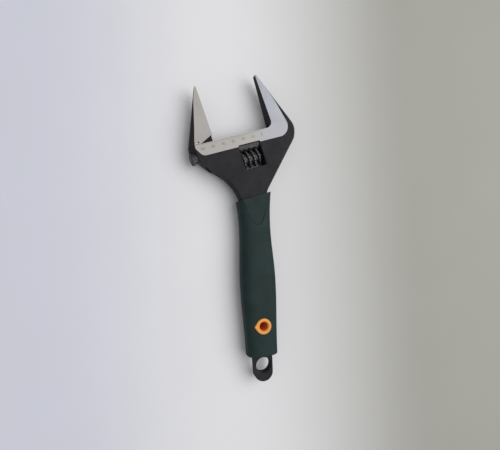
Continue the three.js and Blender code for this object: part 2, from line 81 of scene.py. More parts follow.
def colour(name, description, default):
    return bpy.props.FloatVectorProperty(
        name=name, description=description, default=default, size=3, min=0, max=1, subtype="COLOR"
    )


# Settings

class JawSizes(bpy.types.PropertyGroup):
    opening: length("Opening", "Gap between the two jaw faces", 0.0609)
    reach: length("Reach", "Length of the jaws beyond the throat", 0.05415)
    tip_width: length("Tip width", "Width of each jaw at its tip", 0.0012)
    tip_thickness: length("Tip thickness", "Thickness of each jaw at its tip", 0.0059)
    back_slope: share("Back slope", "Growth of a jaw's width for each unit from its tip", 0.42)
    face_foot: length("Face foot", "Where the moving jaw's face starts above the throat", 0.0063)
    heel_run: length("Heel run", "Length of the undercut behind the moving jaw's face", 0.0122)
    root_fillet: length("Root fillet", "Radius between the throat and the fixed jaw", 0.0065)
    edge_rounding: length("Edge rounding", "Radius along the moving jaw's back edges", 0.0012)
    mark_radius: length("Mark radius", "Radius of the small index mark", 0.00075)
    mark_depth: length("Mark depth", "Depth of the small index mark", 0.0005)
    mark_setback: length("Mark setback", "Index mark's distance behind the fixed jaw's face", 0.0754)
    mark_height: length("Mark height", "Index mark's distance above the throat", 0.00185)


class HeadSizes(bpy.types.PropertyGroup):
    angle: turn("Angle", "Lean of the head on the handle", 15.3)
    thickness: length("Thickness", "Thickness over the ground pads", 0.016)
    wall_thickness: length("Wall thickness", "Height of the upright walls at the edge", 0.007)
    pad_width: length("Pad width", "Width of the ground band along the throat", 0.01115)
    pad_corner: length("Pad corner", "Radius of the pad's corner by the elbow", 0.011)
    pad_end: length("Pad end", "Radius of the pad's corner at the free end", 0.006)
    pad_end_lean: bpy.props.FloatProperty(name="Pad lean", description="Lean of the pad's end", default=0.604)
    pad_edge_setout: length("Pad edge", "Pad's edge beyond the fixed jaw's face", 0.0161)
    pad_edge_slope: share("Pad edge slope", "Lean of the pad's edge towards the jaw", 0.2)
    forged_recess: length("Forged recess", "Depth of the forged faces below the pads", 0.0004)
    elbow_drop: length("Elbow drop", "Elbow's distance below the throat", 0.0085)
    elbow_radius: length("Elbow radius", "Radius of the elbow's outline", 0.017)
    elbow_face_inset: length("Elbow inset", "Slope's width at the elbow", 0.0026)
    end_bevel_drop: length("End drop", "Upright part of the free end below the throat", 0.0032)
    heel_drop: length("Heel drop", "Heel's distance below the throat", 0.0145)
    heel_inset: length("Heel inset", "Heel's distance in from the free end", 0.0051)
    heel_radius: length("Heel radius", "Radius of the heel", 0.002)
    pin_flat_inset: length("Pin flat inset", "Lower end of the edge at the pin, in from the free end", 0.0129)
    pin_flat_drop: length("Pin flat drop", "Lower end of the edge at the pin, below the throat", 0.0245)
    pin_flat_radius: length("Pin flat radius", "Radius at the lower end of that edge", 0.008)
    side_face_inset: length("Side face inset", "Slope of the edge at the pin, measured inwards", 0.0006)
    end_face_inset: length("End inset", "Slope's width at the free end", 0.005)
    taper_top_drop: length("Taper top", "Where the jaws' taper starts above the throat", 0.002)
    back_slope_start: length("Back slope start", "Where the fixed jaw's back slope runs out", 0.044)
    slope_run: length("Slope run", "Usual width of the slopes, on which their roundings are drawn", 0.006)
    wall_rounding: length("Wall rounding", "Radius between the walls and the slopes", 0.0022)
    face_rounding: length("Face rounding", "Radius between the slopes and the flat faces", 0.001)
    machined_edge: length("Machined edge", "Small chamfer round cut openings", 0.0004)


class HandleSizes(bpy.types.PropertyGroup):
    eye_distance: length("Eye distance", "Hanging eye to throat along the handle", 0.2234)
    axis_setback: length("Axis setback", "Handle's axis behind the fixed jaw's face", 0.0213)
    neck_distance: length("Neck distance", "Where the right neck meets the shank, from the eye", 0.1655)
    neck_left_distance: length("Left neck distance", "Where the left neck meets the shank", 0.172)
    neck_half_width: length("Shank half width", "Half the shank's width", 0.0122)
    neck_bevel: length("Shank bevel", "Width of the shank's sloped edges", 0.0024)
    neck_left_radius: length("Left neck radius", "Radius of the neck under the moving jaw", 0.050)
    neck_right_radius: length("Right neck radius", "Radius of the neck under the fixed jaw", 0.017)
    taper_start: length("Taper start", "Where the neck starts to thin below the throat", 0.040)
    taper_end: length("Taper end", "Where the neck reaches the shank's thickness", 0.058)
    thickness: length("Shank thickness", "Thickness of the shank", 0.012)
    shank_end: length("Shank end", "Where the shank starts to thin, from the eye", 0.014)
    plate_thickness: length("Plate thickness", "Thickness of the hanging plate", 0.0083)
    plate_start: length("Plate start", "Where the hanging plate starts, from the eye", 0.009)
    plate_half_width: length("Plate half width", "Half the hanging plate's width", 0.009)
    plate_end: length("Plate end", "End of the hanging plate beyond the eye", 0.0154)
    eye_radius: length("Eye radius", "Radius of the hanging eye's hole", 0.0073)
    eye_chamfer: length("Eye chamfer", "Chamfer round the hanging eye", 0.0005)


class SlideSizes(bpy.types.PropertyGroup):
    radius: length("Radius", "Radius of the slide bar", 0.006)
    drop: length("Drop", "Slide bar's axis below the throat", 0.01055)
    bar_length: length("Length", "Length of the slide bar", 0.070)
    overhang: length("Overhang", "Slide bar beyond the moving jaw's root", 0.0012)
    chamfer: length("Chamfer", "Chamfer at the slide bar's ends", 0.0007)
    web_thickness: length("Web thickness", "Thickness of the web above the bar", 0.006)
    gap: length("Running gap", "Gap round every moving piece", 0.0003)
    overrun: length("Overrun", "How far cutting shapes pass what they cut", 0.005)


class WormSizes(bpy.types.PropertyGroup):
    window_width: length("Window width", "Window's size along the slide", 0.0219)
    window_height: length("Window height", "Window's size along the handle", 0.0236)
    window_setback: length("Window setback", "Window behind the fixed jaw's face", 0.0177)
    window_drop: length("Window drop", "Window below the throat", 0.01015)
    window_corner: length("Window corner", "Radius of the window's corners", 0.0008)
    drop: length("Worm drop", "Worm's axis below the throat", 0.02305)
    radius: length("Worm radius", "Radius over the worm's thread", 0.0088)
    root_radius: length("Root radius", "Radius at the bottom of the thread", 0.0062)
    worm_length: length("Worm length", "Length of the worm", 0.0176)
    lead: length("Lead", "Advance of the thread in one turn", 0.0052)
    crest_width: length("Crest width", "Width of the thread at its crest", 0.0015)
    base_width: length("Base width", "Width of the thread at its root", 0.0026)
    crest_rounding: length("Crest rounding", "Rounding along the thread's crest", 0.00025)
    ridge_setout: length("Thread setout", "Middle of the thread from the worm's end", 0.0048)
    notch_count: count("Notches", "Notches in one turn of the thread", 16)
    notch_depth: length("Notch depth", "Depth of the thread's notches", 0.0007)
    notch_share: share("Notch share", "Share of the crest that the notches take", 0.56)
    rack_play: length("Rack play", "Play between the thread and the rack", 0.00035)


class PinSizes(bpy.types.PropertyGroup):
    radius: length("Pin radius", "Radius of the worm's pin", 0.0024)
    recess: length("Recess", "Slotted end inside the head's edge", 0.0045)
    seat: length("Seat", "Length of the pin past the window", 0.008)
    chamfer: length("Chamfer", "Chamfer at the pin's ends", 0.0004)
    slot_width: length("Slot width", "Width of the screwdriver slot", 0.001)
    slot_depth: length("Slot depth", "Depth of the screwdriver slot", 0.0014)
    wire_radius: length("Wire radius", "Radius of the spring's wire", 0.0004)
    coil_radius: length("Coil radius", "Radius of the spring's coil", 0.00365)
    coil_turns: bpy.props.FloatProperty(name="Coil turns", description="Turns of the spring", default=3.25)
    pocket_depth: length("Pocket depth", "Depth of the spring's pocket in the worm", 0.004)
    pocket_radius: length("Pocket radius", "Radius of the spring's pocket", 0.0047)


class GripSizes(bpy.types.PropertyGroup):
    start: length("Start", "Lower end of the sleeve, from the eye", 0.0095)
    rim_drop: length("Rim drop", "Mouth of the sleeve below the throat", 0.060)
    belly: length("Belly", "Widest place, from the eye", 0.078)
    waist: length("Waist", "Narrowest place, from the eye", 0.132)
    mouth: length("Mouth", "End of the flare, from the eye", 0.170)
    end_half_width: length("End half width", "Half width at the lower end", 0.01505)
    belly_half_width: length("Belly half width", "Half width at the belly", 0.01715)
    waist_half_width: length("Waist half width", "Half width at the waist", 0.015)
    mouth_half_width: length("Mouth half width", "Half width at the mouth", 0.0193)
    end_sway: length("End sway", "Shift of the end towards the moving jaw", 0.0002)
    belly_sway: length("Belly sway", "Shift of the belly towards the moving jaw", 0.0005)
    waist_sway: length("Waist sway", "Shift of the waist towards the moving jaw", 0.0009)
    mouth_sway: length("Mouth sway", "Shift of the mouth towards the moving jaw", 0.0021)
    end_half_height: length("End half height", "Half height at the lower end", 0.010)
    belly_half_height: length("Belly half height", "Half height at the belly", 0.0109)
    waist_half_height: length("Waist half height", "Half height at the waist", 0.010)
    mouth_half_height: length("Mouth half height", "Half height at the mouth", 0.0109)
    end_rounding: length("End rounding", "Rounding of the lower end", 0.0016)
    rim_rounding: length("Rim rounding", "Rounding of the mouth's rim", 0.0005)
    squareness: bpy.props.FloatProperty(name="Squareness", description="Power of the section", default=3.0)
    facet_tip: length("Facet tip", "Where the flat panel's edges would meet, from the eye", 0.1264)
    facet_tip_radius: length("Facet tip radius", "Radius of the flat panel's tip", 0.0047)
    facet_spread: share("Facet spread", "Growth of the flat panel's half width", 0.414)
    facet_mouth_depth: length("Facet mouth depth", "Depth of the flat panel at the mouth", 0.0028)
    facet_tip_depth: length("Facet tip depth", "Depth of the flat panel at its tip", 0.0004)
    facet_draft: share("Facet draft", "Lean of the flat panel's edge walls", 0.7)


class EyeletSizes(bpy.types.PropertyGroup):
    distance: length("Distance", "Eyelet's middle from the hanging eye", 0.0382)
    radius: length("Radius", "Radius of the drop's round part", 0.0074)
    point_reach: length("Point reach", "Middle to the drop's point", 0.0096)
    point_rounding: share("Point rounding", "Softness of the drop's point", 0.09)
    hole_radius: length("Hole radius", "Radius of the through hole", 0.004)
    tube_radius: length("Tube radius", "Outer radius of the eyelet's tube", 0.0053)
    face_height: length("Face height", "Face above the middle of the thickness", 0.0113)
    flange_thickness: length("Flange thickness", "Thickness of the drop", 0.002)
    edge_rounding: length("Edge rounding", "Rounding of the drop's edge", 0.0007)
    mouth_width: length("Mouth width", "Width of the hole's funnel", 0.0013)
    mouth_depth: length("Mouth depth", "Depth of the hole's funnel", 0.0016)


class MarkSizes(bpy.types.PropertyGroup):
    zero_setback: length("Zero setback", "Scale's zero behind the fixed jaw's face", 0.01338)
    number_drop: length("Number drop", "Middle of the numbers below the throat", 0.0048)
    number_size: length("Number size", "Height of the type", 0.0036)
    step: length("Number step", "Distance between numbers", 0.010)
    last_number: count("Last number", "Largest number on the scale", 60)
    tick_step: length("Tick step", "Distance between ticks", 0.001)
    tick_width: length("Tick width", "Width of a tick", 0.00014)
    tick_length: length("Tick length", "Length of a short tick", 0.0012)
    long_tick_length: length("Long tick length", "Length of a tick at a number", 0.0020)
    edge_gap: length("Edge gap", "Ticks' start below the throat", 0.0003)
    depth: length("Mark depth", "Thickness of the marks", 0.00002)


class Finishes(bpy.types.PropertyGroup):
    black: colour("Black forging", "Black finish of the forgings", (0.0175, 0.017, 0.0195))
    black_light: colour("Black forging, light", "Lighter patches of the black finish", (0.026, 0.0255, 0.028))
    ground: colour("Ground steel", "Ground faces by the moving jaw", (0.44, 0.42, 0.39))
    # Painted reflection: a cool blue tint that stands in for a cool light mirrored in the fixed jaw's ground
    # faces.
    ground_cool: colour("Ground steel, cool", "Ground faces on the fixed jaw", (0.44, 0.45, 0.50))
    worn: colour("Worn steel", "Crests of thread and rack", (0.30, 0.29, 0.28))
    machined: colour("Machined steel", "Dark machined faces", (0.045, 0.044, 0.046))
    marks: colour("Marks", "Numbers and ticks", (0.10, 0.092, 0.085))
    rubber: colour("Grip rubber", "Green rubber of the grip", (0.009, 0.022, 0.021))
    rubber_light: colour("Grip rubber, light", "Lighter patches of the rubber", (0.014, 0.031, 0.029))
    orange: colour("Eyelet", "Orange plastic of the eyelets", (0.78, 0.31, 0.045))
    # Painted shade: a deeper, redder orange that stands in for the shade down the eyelet's hole; it also
    # tints the plastic's real cloudiness.
    orange_deep: colour("Eyelet, deep", "Orange plastic down the hole", (0.88, 0.23, 0.022))
    floor: colour("Floor", "Pale floor", (0.82, 0.82, 0.84))
    # Painted shade: a bluish grey that stands in for the light falling off beyond the moving jaw.
    floor_far: colour("Floor, far side", "Floor beyond the moving jaw", (0.70, 0.71, 0.80))
    floor_shaded: colour("Floor, shaded side", "Floor beyond the fixed jaw", (0.37, 0.365, 0.33))
    backdrop: colour("Backdrop", "Pale surroundings", (0.52, 0.52, 0.53))
    # Span along the slide over which the painted cool reflection fades in.
    cool_start: length("Cool start", "Where the ground steel starts to turn cool along the slide", -0.024)
    cool_end: length("Cool end", "Where the ground steel is coolest along the slide", -0.006)
    dull_end: length("Dull end", "Where the ground steel is dullest, above the throat", -0.002)
    dull_start: length("Dull start", "Where the ground steel starts to dull above the throat", 0.018)


class StageSizes(bpy.types.PropertyGroup):
    camera_place: bpy.props.FloatVectorProperty(
        name="Camera place", description="Where the camera stands", default=(-0.00763, 0.08699, 0.31537),
        unit="LENGTH", subtype="TRANSLATION"
    )
    camera_turn: bpy.props.FloatVectorProperty(
        name="Camera turn", description="How the camera is turned", default=(0.04281, -0.28626, -1.62305),
        unit="ROTATION", subtype="EULER"
    )
    lens: bpy.props.FloatProperty(name="Lens", description="Focal length in millimetres", default=23.54)
    lens_shift: bpy.props.FloatVectorProperty(
        name="Lens shift", description="Shift of the frame, in frame widths", default=(-0.001, -0.001), size=2
    )
    clip_start: length("Clip start", "Distance before which the camera shows nothing", 0.005)
    floor_size: length("Floor size", "Side of the floor", 6.0)
    # Spans of the painted shade on the floor, on both sides.
    shade_start: length("Shade start", "Where the floor starts to darken beyond the fixed jaw", 0.03)
    shade_end: length("Shade end", "Where the floor is darkest beyond the fixed jaw", -0.22)
    far_start: length("Far start", "Where the floor starts to darken beyond the moving jaw", 0.03)
    far_end: length("Far end", "Where the floor is darkest beyond the moving jaw", 0.18)
    key_place: bpy.props.FloatVectorProperty(
        name="Key light place", description="Where the large soft light stands", default=(0.10, -0.75, 1.25),
        unit="LENGTH", subtype="TRANSLATION"
    )
    key_size: length("Key light size", "Width of the large soft light", 1.7)
    key_power: bpy.props.FloatProperty(name="Key light power", description="Power in watts", default=17.0)
    sky_level: bpy.props.FloatProperty(name="Sky level", description="Brightness all round", default=0.40)


class WrenchSettings(bpy.types.PropertyGroup):
    jaw: bpy.props.PointerProperty(type=JawSizes)
    head: bpy.props.PointerProperty(type=HeadSizes)
    handle: bpy.props.PointerProperty(type=HandleSizes)
    slide: bpy.props.PointerProperty(type=SlideSizes)
    worm: bpy.props.PointerProperty(type=WormSizes)
    pin: bpy.props.PointerProperty(type=PinSizes)
    grip: bpy.props.PointerProperty(type=GripSizes)
    eyelet: bpy.props.PointerProperty(type=EyeletSizes)
    marks: bpy.props.PointerProperty(type=MarkSizes)
    finish: bpy.props.PointerProperty(type=Finishes)
    stage: bpy.props.PointerProperty(type=StageSizes)


def settings():
    return bpy.context.scene.wrench


# Fineness of the curves
ROUND_SIDES = 96
CORNER_STEPS = 12
GRIP_SIDES = 144
GRIP_RINGS = 90
STEPS_PER_NOTCH = 8
QUARTER_STEPS = 6
COIL_STEPS = 48
WIRE_SIDES = 16
SLANT_PASSES = 4

# Places along the grip at which its sizes are given
GRIP_PLACES = ("end", "belly", "waist", "mouth")

# Edges that stay sharp, in degrees
STEEL_CREASE = 35
RUBBER_CREASE = 30
EYELET_CREASE = 40

# Upright share of a normal above which a face counts as flat
ALMOST_FLAT = 0.97

# Depths of the bumps
WIRE_BUMP = 0.00002
STEEL_BUMP = 0.00003
FORGED_BUMP = 0.00004
PLASTIC_BUMP = 0.00004
RUBBER_BUMP = 0.00005

# What a number of the scale grows by
NUMBER_GROWTH = 10

# Places of the colours on the mixing node
FIRST_COLOUR = 6
SECOND_COLOUR = 7
MIXED_COLOUR = 2


# Places

def handle_point(along, across):
    """A place on the handle: along its axis from the hanging eye, and across it."""
    lean = settings().head.angle
    handle = settings().handle
    foot = Vector((-handle.axis_setback, 0))
    up = Vector((sin(lean), cos(lean)))
    side = Vector((cos(lean), -sin(lean)))
    return foot + up * (along - handle.eye_distance) + side * across


def head_place():
    """The head frame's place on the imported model, found from the hanging eye."""
    turned = Matrix.Rotation(settings().head.angle - pi / 2, 4, "Z")
    eye = next(mount for mount in frame["record"]["mounts"] if mount["name"] == "hanging_eye")
    foot = handle_point(0, 0)
    return Matrix.Translation(Vector(eye["pos_m"]) - turned @ Vector((foot.x, foot.y, 0))) @ turned


def moving_root():
    jaw = settings().jaw
    return -jaw.opening - root_width()


def root_width():
    jaw = settings().jaw
    return jaw.tip_width + jaw.back_slope * jaw.reach


def far_left():
    return moving_root() - settings().slide.overrun


def far_right():
    return root_width() + settings().head.elbow_radius


def window_right():
    return -settings().worm.window_setback


def worm_start():
    worm = settings().worm
    return window_right() - worm.window_width + settings().slide.gap


def worm_end():
    return worm_start() + settings().worm.worm_length


# Outlines

def corner(x, y, radius=0.0):
    return (Vector((x, y)), radius)


def outline_of(corners):
    """Points of a closed outline through the corners, each rounded by an arc of its own radius."""
    points = []
    for index, (place, radius) in enumerate(corners):
        if radius == 0:
            points.append(place)
            continue
        arriving = (place - corners[index - 1][0]).normalized()
        leaving = (corners[(index + 1) % len(corners)][0] - place).normalized()
        bend = atan2(arriving.x * leaving.y - arriving.y * leaving.x, arriving.dot(leaving))
        start = place - arriving * radius * tan(abs(bend) / 2)
        inward = Vector((-arriving.y, arriving.x)) * (1 if bend > 0 else -1)
        centre = start + inward * radius
        for step in range(CORNER_STEPS + 1):
            spoke = Matrix.Rotation(bend * step / CORNER_STEPS, 2) @ (start - centre)
            points.append(centre + spoke)
    return points


def rectangle(left, bottom, right, top, radius=0.0):
    return outline_of([
        corner(left, bottom, radius),
        corner(right, bottom, radius),
        corner(right, top, radius),
        corner(left, top, radius),
    ])


def between(first, second, part):
    return [a + (b - a) * part for a, b in zip(first, second)]


# Solids

def new_solid(name, points, faces):
    """A closed mesh object with its faces turned outwards."""
    mesh = bpy.data.meshes.new(name)
    mesh.from_pydata(points, [], faces)
    shape = bmesh.new()
    shape.from_mesh(mesh)
    bmesh.ops.recalc_face_normals(shape, faces=shape.faces)
    shape.to_mesh(mesh)
    shape.free()
    piece = bpy.data.objects.new(name, mesh)
    bpy.context.scene.collection.objects.link(piece)
    return piece


def side_faces(rings, size, looped=False):
    faces = []
    for level in range(rings if looped else rings - 1):
        here = level * size
        above = (level + 1) % rings * size
        for index in range(size):
            after = (index + 1) % size
            faces.append((here + index, here + after, above + after, above + index))
    return faces


def loft(name, rings):
    """A solid through rings of equally many points, with a flat cap on each end."""
    size = len(rings[0])
    points = [point for ring in rings for point in ring]
    last = (len(rings) - 1) * size
    caps = [tuple(reversed(range(size))), tuple(range(last, last + size))]
    return new_solid(name, points, side_faces(len(rings), size) + caps)


def stack(name, levels):
    """A solid from flat outlines at rising heights, given as (outline, height)."""
    return loft(name, [[Vector((p.x, p.y, height)) for p in outline] for outline, height in levels])


def prism(name, outline, low, high):
    return stack(name, [(outline, low), (outline, high)])


def block(name, left, bottom, right, top, low, high):
    return prism(name, rectangle(left, bottom, right, top), low, high)


def circle(size=ROUND_SIDES):
    return [2 * pi * index / size for index in range(size)]


def quarter_turn():
    """Angles from level to upright, for a rounding."""
    return [pi / 2 * step / QUARTER_STEPS for step in range(QUARTER_STEPS + 1)]


def turned_bar(name, profile, height):
    """A round bar along X, given as (x, radius) along its axis, at a height in the plan."""
    return loft(name, [
        [Vector((x, height + radius * cos(angle), radius * sin(angle))) for angle in circle()]
        for x, radius in profile
    ])


def chamfered_bar(name, start, end, radius, chamfer, height):
    """A round bar along X with a chamfer at both ends."""
    inner = radius - chamfer
    profile = [(start, inner), (start + chamfer, radius), (end - chamfer, radius), (end, inner)]
    return turned_bar(name, profile, height)


def turned_post(name, profile, place):
    """A round post along Z, given as (z, radius) along its axis, at a place in the plan."""
    return loft(name, [
        [Vector((place.x + radius * cos(angle), place.y + radius * sin(angle), z)) for angle in circle()]
        for z, radius in profile
    ])


def settle(piece):
    """Turns the piece's modifiers into its own mesh."""
    graph = bpy.context.evaluated_depsgraph_get()
    finished = bpy.data.meshes.new_from_object(
        piece.evaluated_get(graph), preserve_all_data_layers=True, depsgraph=graph
    )
    rough = piece.data
    piece.modifiers.clear()
    piece.data = finished
    finished.name = piece.name
    bpy.data.meshes.remove(rough)
    return piece


def combine(base, tool, operation):
    step = base.modifiers.new(operation, "BOOLEAN")
    step.operation = operation
    step.solver = "MANIFOLD"
    step.object = tool
    settle(base)
    bpy.data.objects.remove(tool)
    return base


def cut(base, *tools):
    for tool in tools:
        combine(base, tool, "DIFFERENCE")
    return base


def edge_levels():
    """Shares of the way from the walls to the flat face, with heights, rounded at both bends."""
    head = settings().head
    run = head.slope_run
    bends = outline_of([
        corner(0, 0),
        corner(0, head.wall_thickness / 2, head.wall_rounding),
        corner(run, head.thickness / 2, head.face_rounding),
        corner(run + run, head.thickness / 2),
    ])
    return [(bend.x / run, bend.y) for bend in bends[1:-1]]


def forged_solid(name, walls, faces):
    """Upright walls in the middle of the thickness, with rounded slopes to both flat faces."""
    upper = [(between(walls, faces, part), height) for part, height in edge_levels()]
    lower = [(outline, -height) for outline, height in reversed(upper)]
    return stack(name, lower + upper)


# Shared finishing

def tidy_mesh(piece, least=0.00001):
    shape = bmesh.new()
    shape.from_mesh(piece.data)
    bmesh.ops.remove_doubles(shape, verts=shape.verts, dist=least)
    bmesh.ops.dissolve_degenerate(shape, dist=least, edges=shape.edges)
    shape.to_mesh(piece.data)
    shape.free()


def smooth(piece, crease):
    """Smooth shading that keeps edges sharper than the crease and the flat faces flat."""
    piece.data.shade_smooth()
    piece.data.set_sharp_from_angle(angle=radians(crease))
    even = piece.modifiers.new("even", "WEIGHTED_NORMAL")
    even.keep_sharp = True
    settle(piece)


def dress(piece, finishes, choose=None):
    """Gives the piece its finishes; choose picks one for each face from its middle and normal."""
    piece.data.materials.clear()
    for finish in finishes:
        piece.data.materials.append(finish)
    for face in piece.data.polygons:
        face.material_index = choose(face.center, face.normal) if choose else 0


def place_piece(piece, body, slot, *nodes):
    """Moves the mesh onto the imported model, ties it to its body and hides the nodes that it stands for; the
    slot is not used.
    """
    piece.data.transform(head_place())
    piece.data.update()
    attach(piece, body)
    if nodes:
        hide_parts(*nodes)
    return piece


# Node trees

def add_node(tree, kind, values=None, **traits):
    """A node with its traits set, and its inputs set to values or linked to sockets."""
    node = tree.nodes.new(kind)
    for name, value in traits.items():
        setattr(node, name, value)
    for name, value in (values or {}).items():
        socket = node.inputs[name]
        if isinstance(value, bpy.types.NodeSocket):
            tree.links.new(value, socket)
        else:
            socket.default_value = value
    return node


def rgba(value):
    return (*value, 1.0)


def new_finish(name):
    """A material with only its shader, and the shader itself."""
    finish = bpy.data.materials.new(name)
    finish.use_nodes = True
    return finish, finish.node_tree, finish.node_tree.nodes["Principled BSDF"]


def head_coordinates(tree, stretch=(1, 1, 1)):
    """Object coordinates turned to run along the slide and the jaws, stretched for the grain."""
    here = add_node(tree, "ShaderNodeTexCoord").outputs["Object"]
    inverse = head_place().inverted()
    turned = add_node(tree, "ShaderNodeMapping", {
        "Vector": here,
        "Location": inverse.to_translation(),
        "Rotation": inverse.to_euler(),
    }).outputs["Vector"]
    if stretch == (1, 1, 1):
        return turned
    return add_node(tree, "ShaderNodeMapping", {"Vector": turned, "Scale": stretch}).outputs["Vector"]


def grain(tree, where, scale, detail=3.0, roughness=0.5):
    return add_node(tree, "ShaderNodeTexNoise", {
        "Vector": where, "Scale": scale, "Detail": detail, "Roughness": roughness,
    }).outputs["Fac"]


def spread(tree, value, low, high, new_low=0.0, new_high=1.0, curve="LINEAR"):
    return add_node(tree, "ShaderNodeMapRange", {
        "Value": value, "From Min": low, "From Max": high, "To Min": new_low, "To Max": new_high,
    }, interpolation_type=curve).outputs["Result"]


def blend_colours(tree, part, first, second):
    """A colour between two, which are colours or sockets."""
    mix = add_node(tree, "ShaderNodeMix", data_type="RGBA")
    tree.links.new(part, mix.inputs[0])
    for place, value in ((FIRST_COLOUR, first), (SECOND_COLOUR, second)):
        socket = mix.inputs[place]
        if isinstance(value, bpy.types.NodeSocket):
            tree.links.new(value, socket)
        else:
            socket.default_value = rgba(value)
    return mix.outputs[MIXED_COLOUR]


def bump(tree, height, strength, distance):
    return add_node(tree, "ShaderNodeBump", {
        "Height": height, "Strength": strength, "Distance": distance,
    }).outputs["Normal"]


def feed(tree, shader, **inputs):
    """Sets or links the shader's inputs, named with underscores for spaces."""
    for name, value in inputs.items():
        socket = shader.inputs[name.replace("_", " ")]
        if isinstance(value, bpy.types.NodeSocket):
            tree.links.new(value, socket)
        else:
            socket.default_value = value


# Finishes

def black_steel():
    """Black finish on forged steel: fine grain, soft patches and a dull sheen."""
    finish, tree, shader = new_finish("black_steel")
    tones = settings().finish
    where = head_coordinates(tree)
    patches = spread(tree, grain(tree, where, 90, 4), 0.35, 0.7)
    fine = grain(tree, where, 2600, 2)
    coarse = grain(tree, where, 420, 3)
    both = add_node(tree, "ShaderNodeMath", {0: fine, 1: coarse}, operation="ADD").outputs[0]
    feed(
        tree, shader,
        Base_Color=blend_colours(tree, patches, tones.black, tones.black_light),
        Roughness=spread(tree, coarse, 0.3, 0.7, 0.5, 0.66),
        Specular_IOR_Level=0.12,
        Normal=bump(tree, both, 0.35, FORGED_BUMP),
    )
    return finish


def ground_steel():
    """Ground faces: straight fine marks, faint stains, duller by the scale, and a painted cool reflection on
    the fixed jaw.
    """
    finish, tree, shader = new_finish("ground_steel")
    tones = settings().finish
    where = head_coordinates(tree)
    parts = add_node(tree, "ShaderNodeSeparateXYZ", {"Vector": where}).outputs
    # Painted reflection: the ground steel turns cool towards the fixed jaw, standing in for a cool light
    # mirrored there.
    cool = spread(tree, parts["X"], tones.cool_start, tones.cool_end)
    # Darker, duller steel towards the throat, along the scale's band.
    throat_dimming = spread(tree, parts["Y"], tones.dull_end, tones.dull_start, 0.3, 0.0, "SMOOTHSTEP")
    base = blend_colours(tree, cool, tones.ground, tones.ground_cool)
    stains = spread(tree, grain(tree, where, 160, 5, 0.6), 0.48, 0.8, 0.0, 0.28)
    marks = grain(tree, head_coordinates(tree, (1, 14, 1)), 420, 4, 0.65)
    toned = blend_colours(tree, stains, base, tones.worn)
    marked = blend_colours(tree, spread(tree, marks, 0.5, 0.85, 0.0, 0.3), toned, tones.worn)
    feed(
        tree, shader,
        Base_Color=blend_colours(tree, throat_dimming, marked, tones.worn),
        Roughness=spread(tree, marks, 0.3, 0.7, 0.52, 0.64),
        Metallic=0.5,
        Normal=bump(tree, marks, 0.25, STEEL_BUMP),
    )
    return finish


def worn_steel():
    """Bare crests, rubbed bright."""
    finish, tree, shader = new_finish("worn_steel")
    tones = settings().finish
    where = head_coordinates(tree)
    rubbed = spread(tree, grain(tree, where, 500, 3), 0.35, 0.65, 0.0, 0.4)
    feed(
        tree, shader,
        Base_Color=blend_colours(tree, rubbed, tones.machined, tones.worn),
        Roughness=spread(tree, grain(tree, where, 1400), 0.3, 0.7, 0.3, 0.5),
        Metallic=0.8,
        Normal=bump(tree, grain(tree, where, 1800), 0.2, STEEL_BUMP),
    )
    return finish


def machined_steel(name="machined_steel"):
    """Dark machined faces with turning marks across the slide."""
    finish, tree, shader = new_finish(name)
    tones = settings().finish
    marks = grain(tree, head_coordinates(tree, (12, 1, 1)), 300, 3)
    feed(
        tree, shader,
        Base_Color=blend_colours(tree, spread(tree, marks, 0.35, 0.75), tones.machined, tones.black_light),
        Roughness=spread(tree, marks, 0.3, 0.7, 0.4, 0.55),
        Metallic=0.5,
        Normal=bump(tree, marks, 0.25, STEEL_BUMP),
    )
    return finish


def thread_steel():
    """Blackened thread, rubbed bright towards its crest."""
    finish, tree, shader = new_finish("worm_steel")
    tones = settings().finish
    worm = settings().worm
    where = head_coordinates(tree)
    parts = add_node(tree, "ShaderNodeSeparateXYZ", {"Vector": where}).outputs
    across = add_node(tree, "ShaderNodeMath", {0: parts["Y"], 1: worm.drop}, operation="ADD").outputs[0]
    flat = add_node(tree, "ShaderNodeCombineXYZ", {"X": across, "Y": parts["Z"]}).outputs["Vector"]
    radius = add_node(tree, "ShaderNodeVectorMath", {0: flat}, operation="LENGTH").outputs["Value"]
    wobble = grain(tree, where, 700, 3)
    height = spread(tree, radius, worm.radius - worm.crest_rounding * 2, worm.radius)
    rubbed = add_node(tree, "ShaderNodeMath", {0: height, 1: wobble}, operation="MULTIPLY").outputs[0]
    feed(
        tree, shader,
        Base_Color=blend_colours(tree, spread(tree, rubbed, 0.2, 1.1), tones.machined, tones.worn),
        Roughness=spread(tree, wobble, 0.3, 0.7, 0.35, 0.5),
        Metallic=0.7,
        Normal=bump(tree, grain(tree, where, 2200), 0.2, STEEL_BUMP),
    )
    return finish


def spring_steel():
    """Drawn wire, grey and even, with light drawing marks."""
    finish, tree, shader = new_finish("spring_steel")
    tones = settings().finish
    marks = grain(tree, head_coordinates(tree, (1, 3, 3)), 900)
    feed(
        tree, shader,
        Base_Color=blend_colours(tree, spread(tree, marks, 0.3, 0.7), tones.machined, tones.worn),
        Roughness=0.35,
        Metallic=0.85,
        Normal=bump(tree, marks, 0.15, WIRE_BUMP),
    )
    return finish


def mark_ink():
    """Etched marks, dark and a little broken."""
    finish, tree, shader = new_finish("mark_ink")
    tones = settings().finish
    broken = spread(tree, grain(tree, head_coordinates(tree), 1500, 3), 0.4, 0.7)
    feed(
        tree, shader,
        Base_Color=blend_colours(tree, broken, tones.marks, tones.worn),
        Roughness=0.6,
        Metallic=0.3,
    )
    return finish


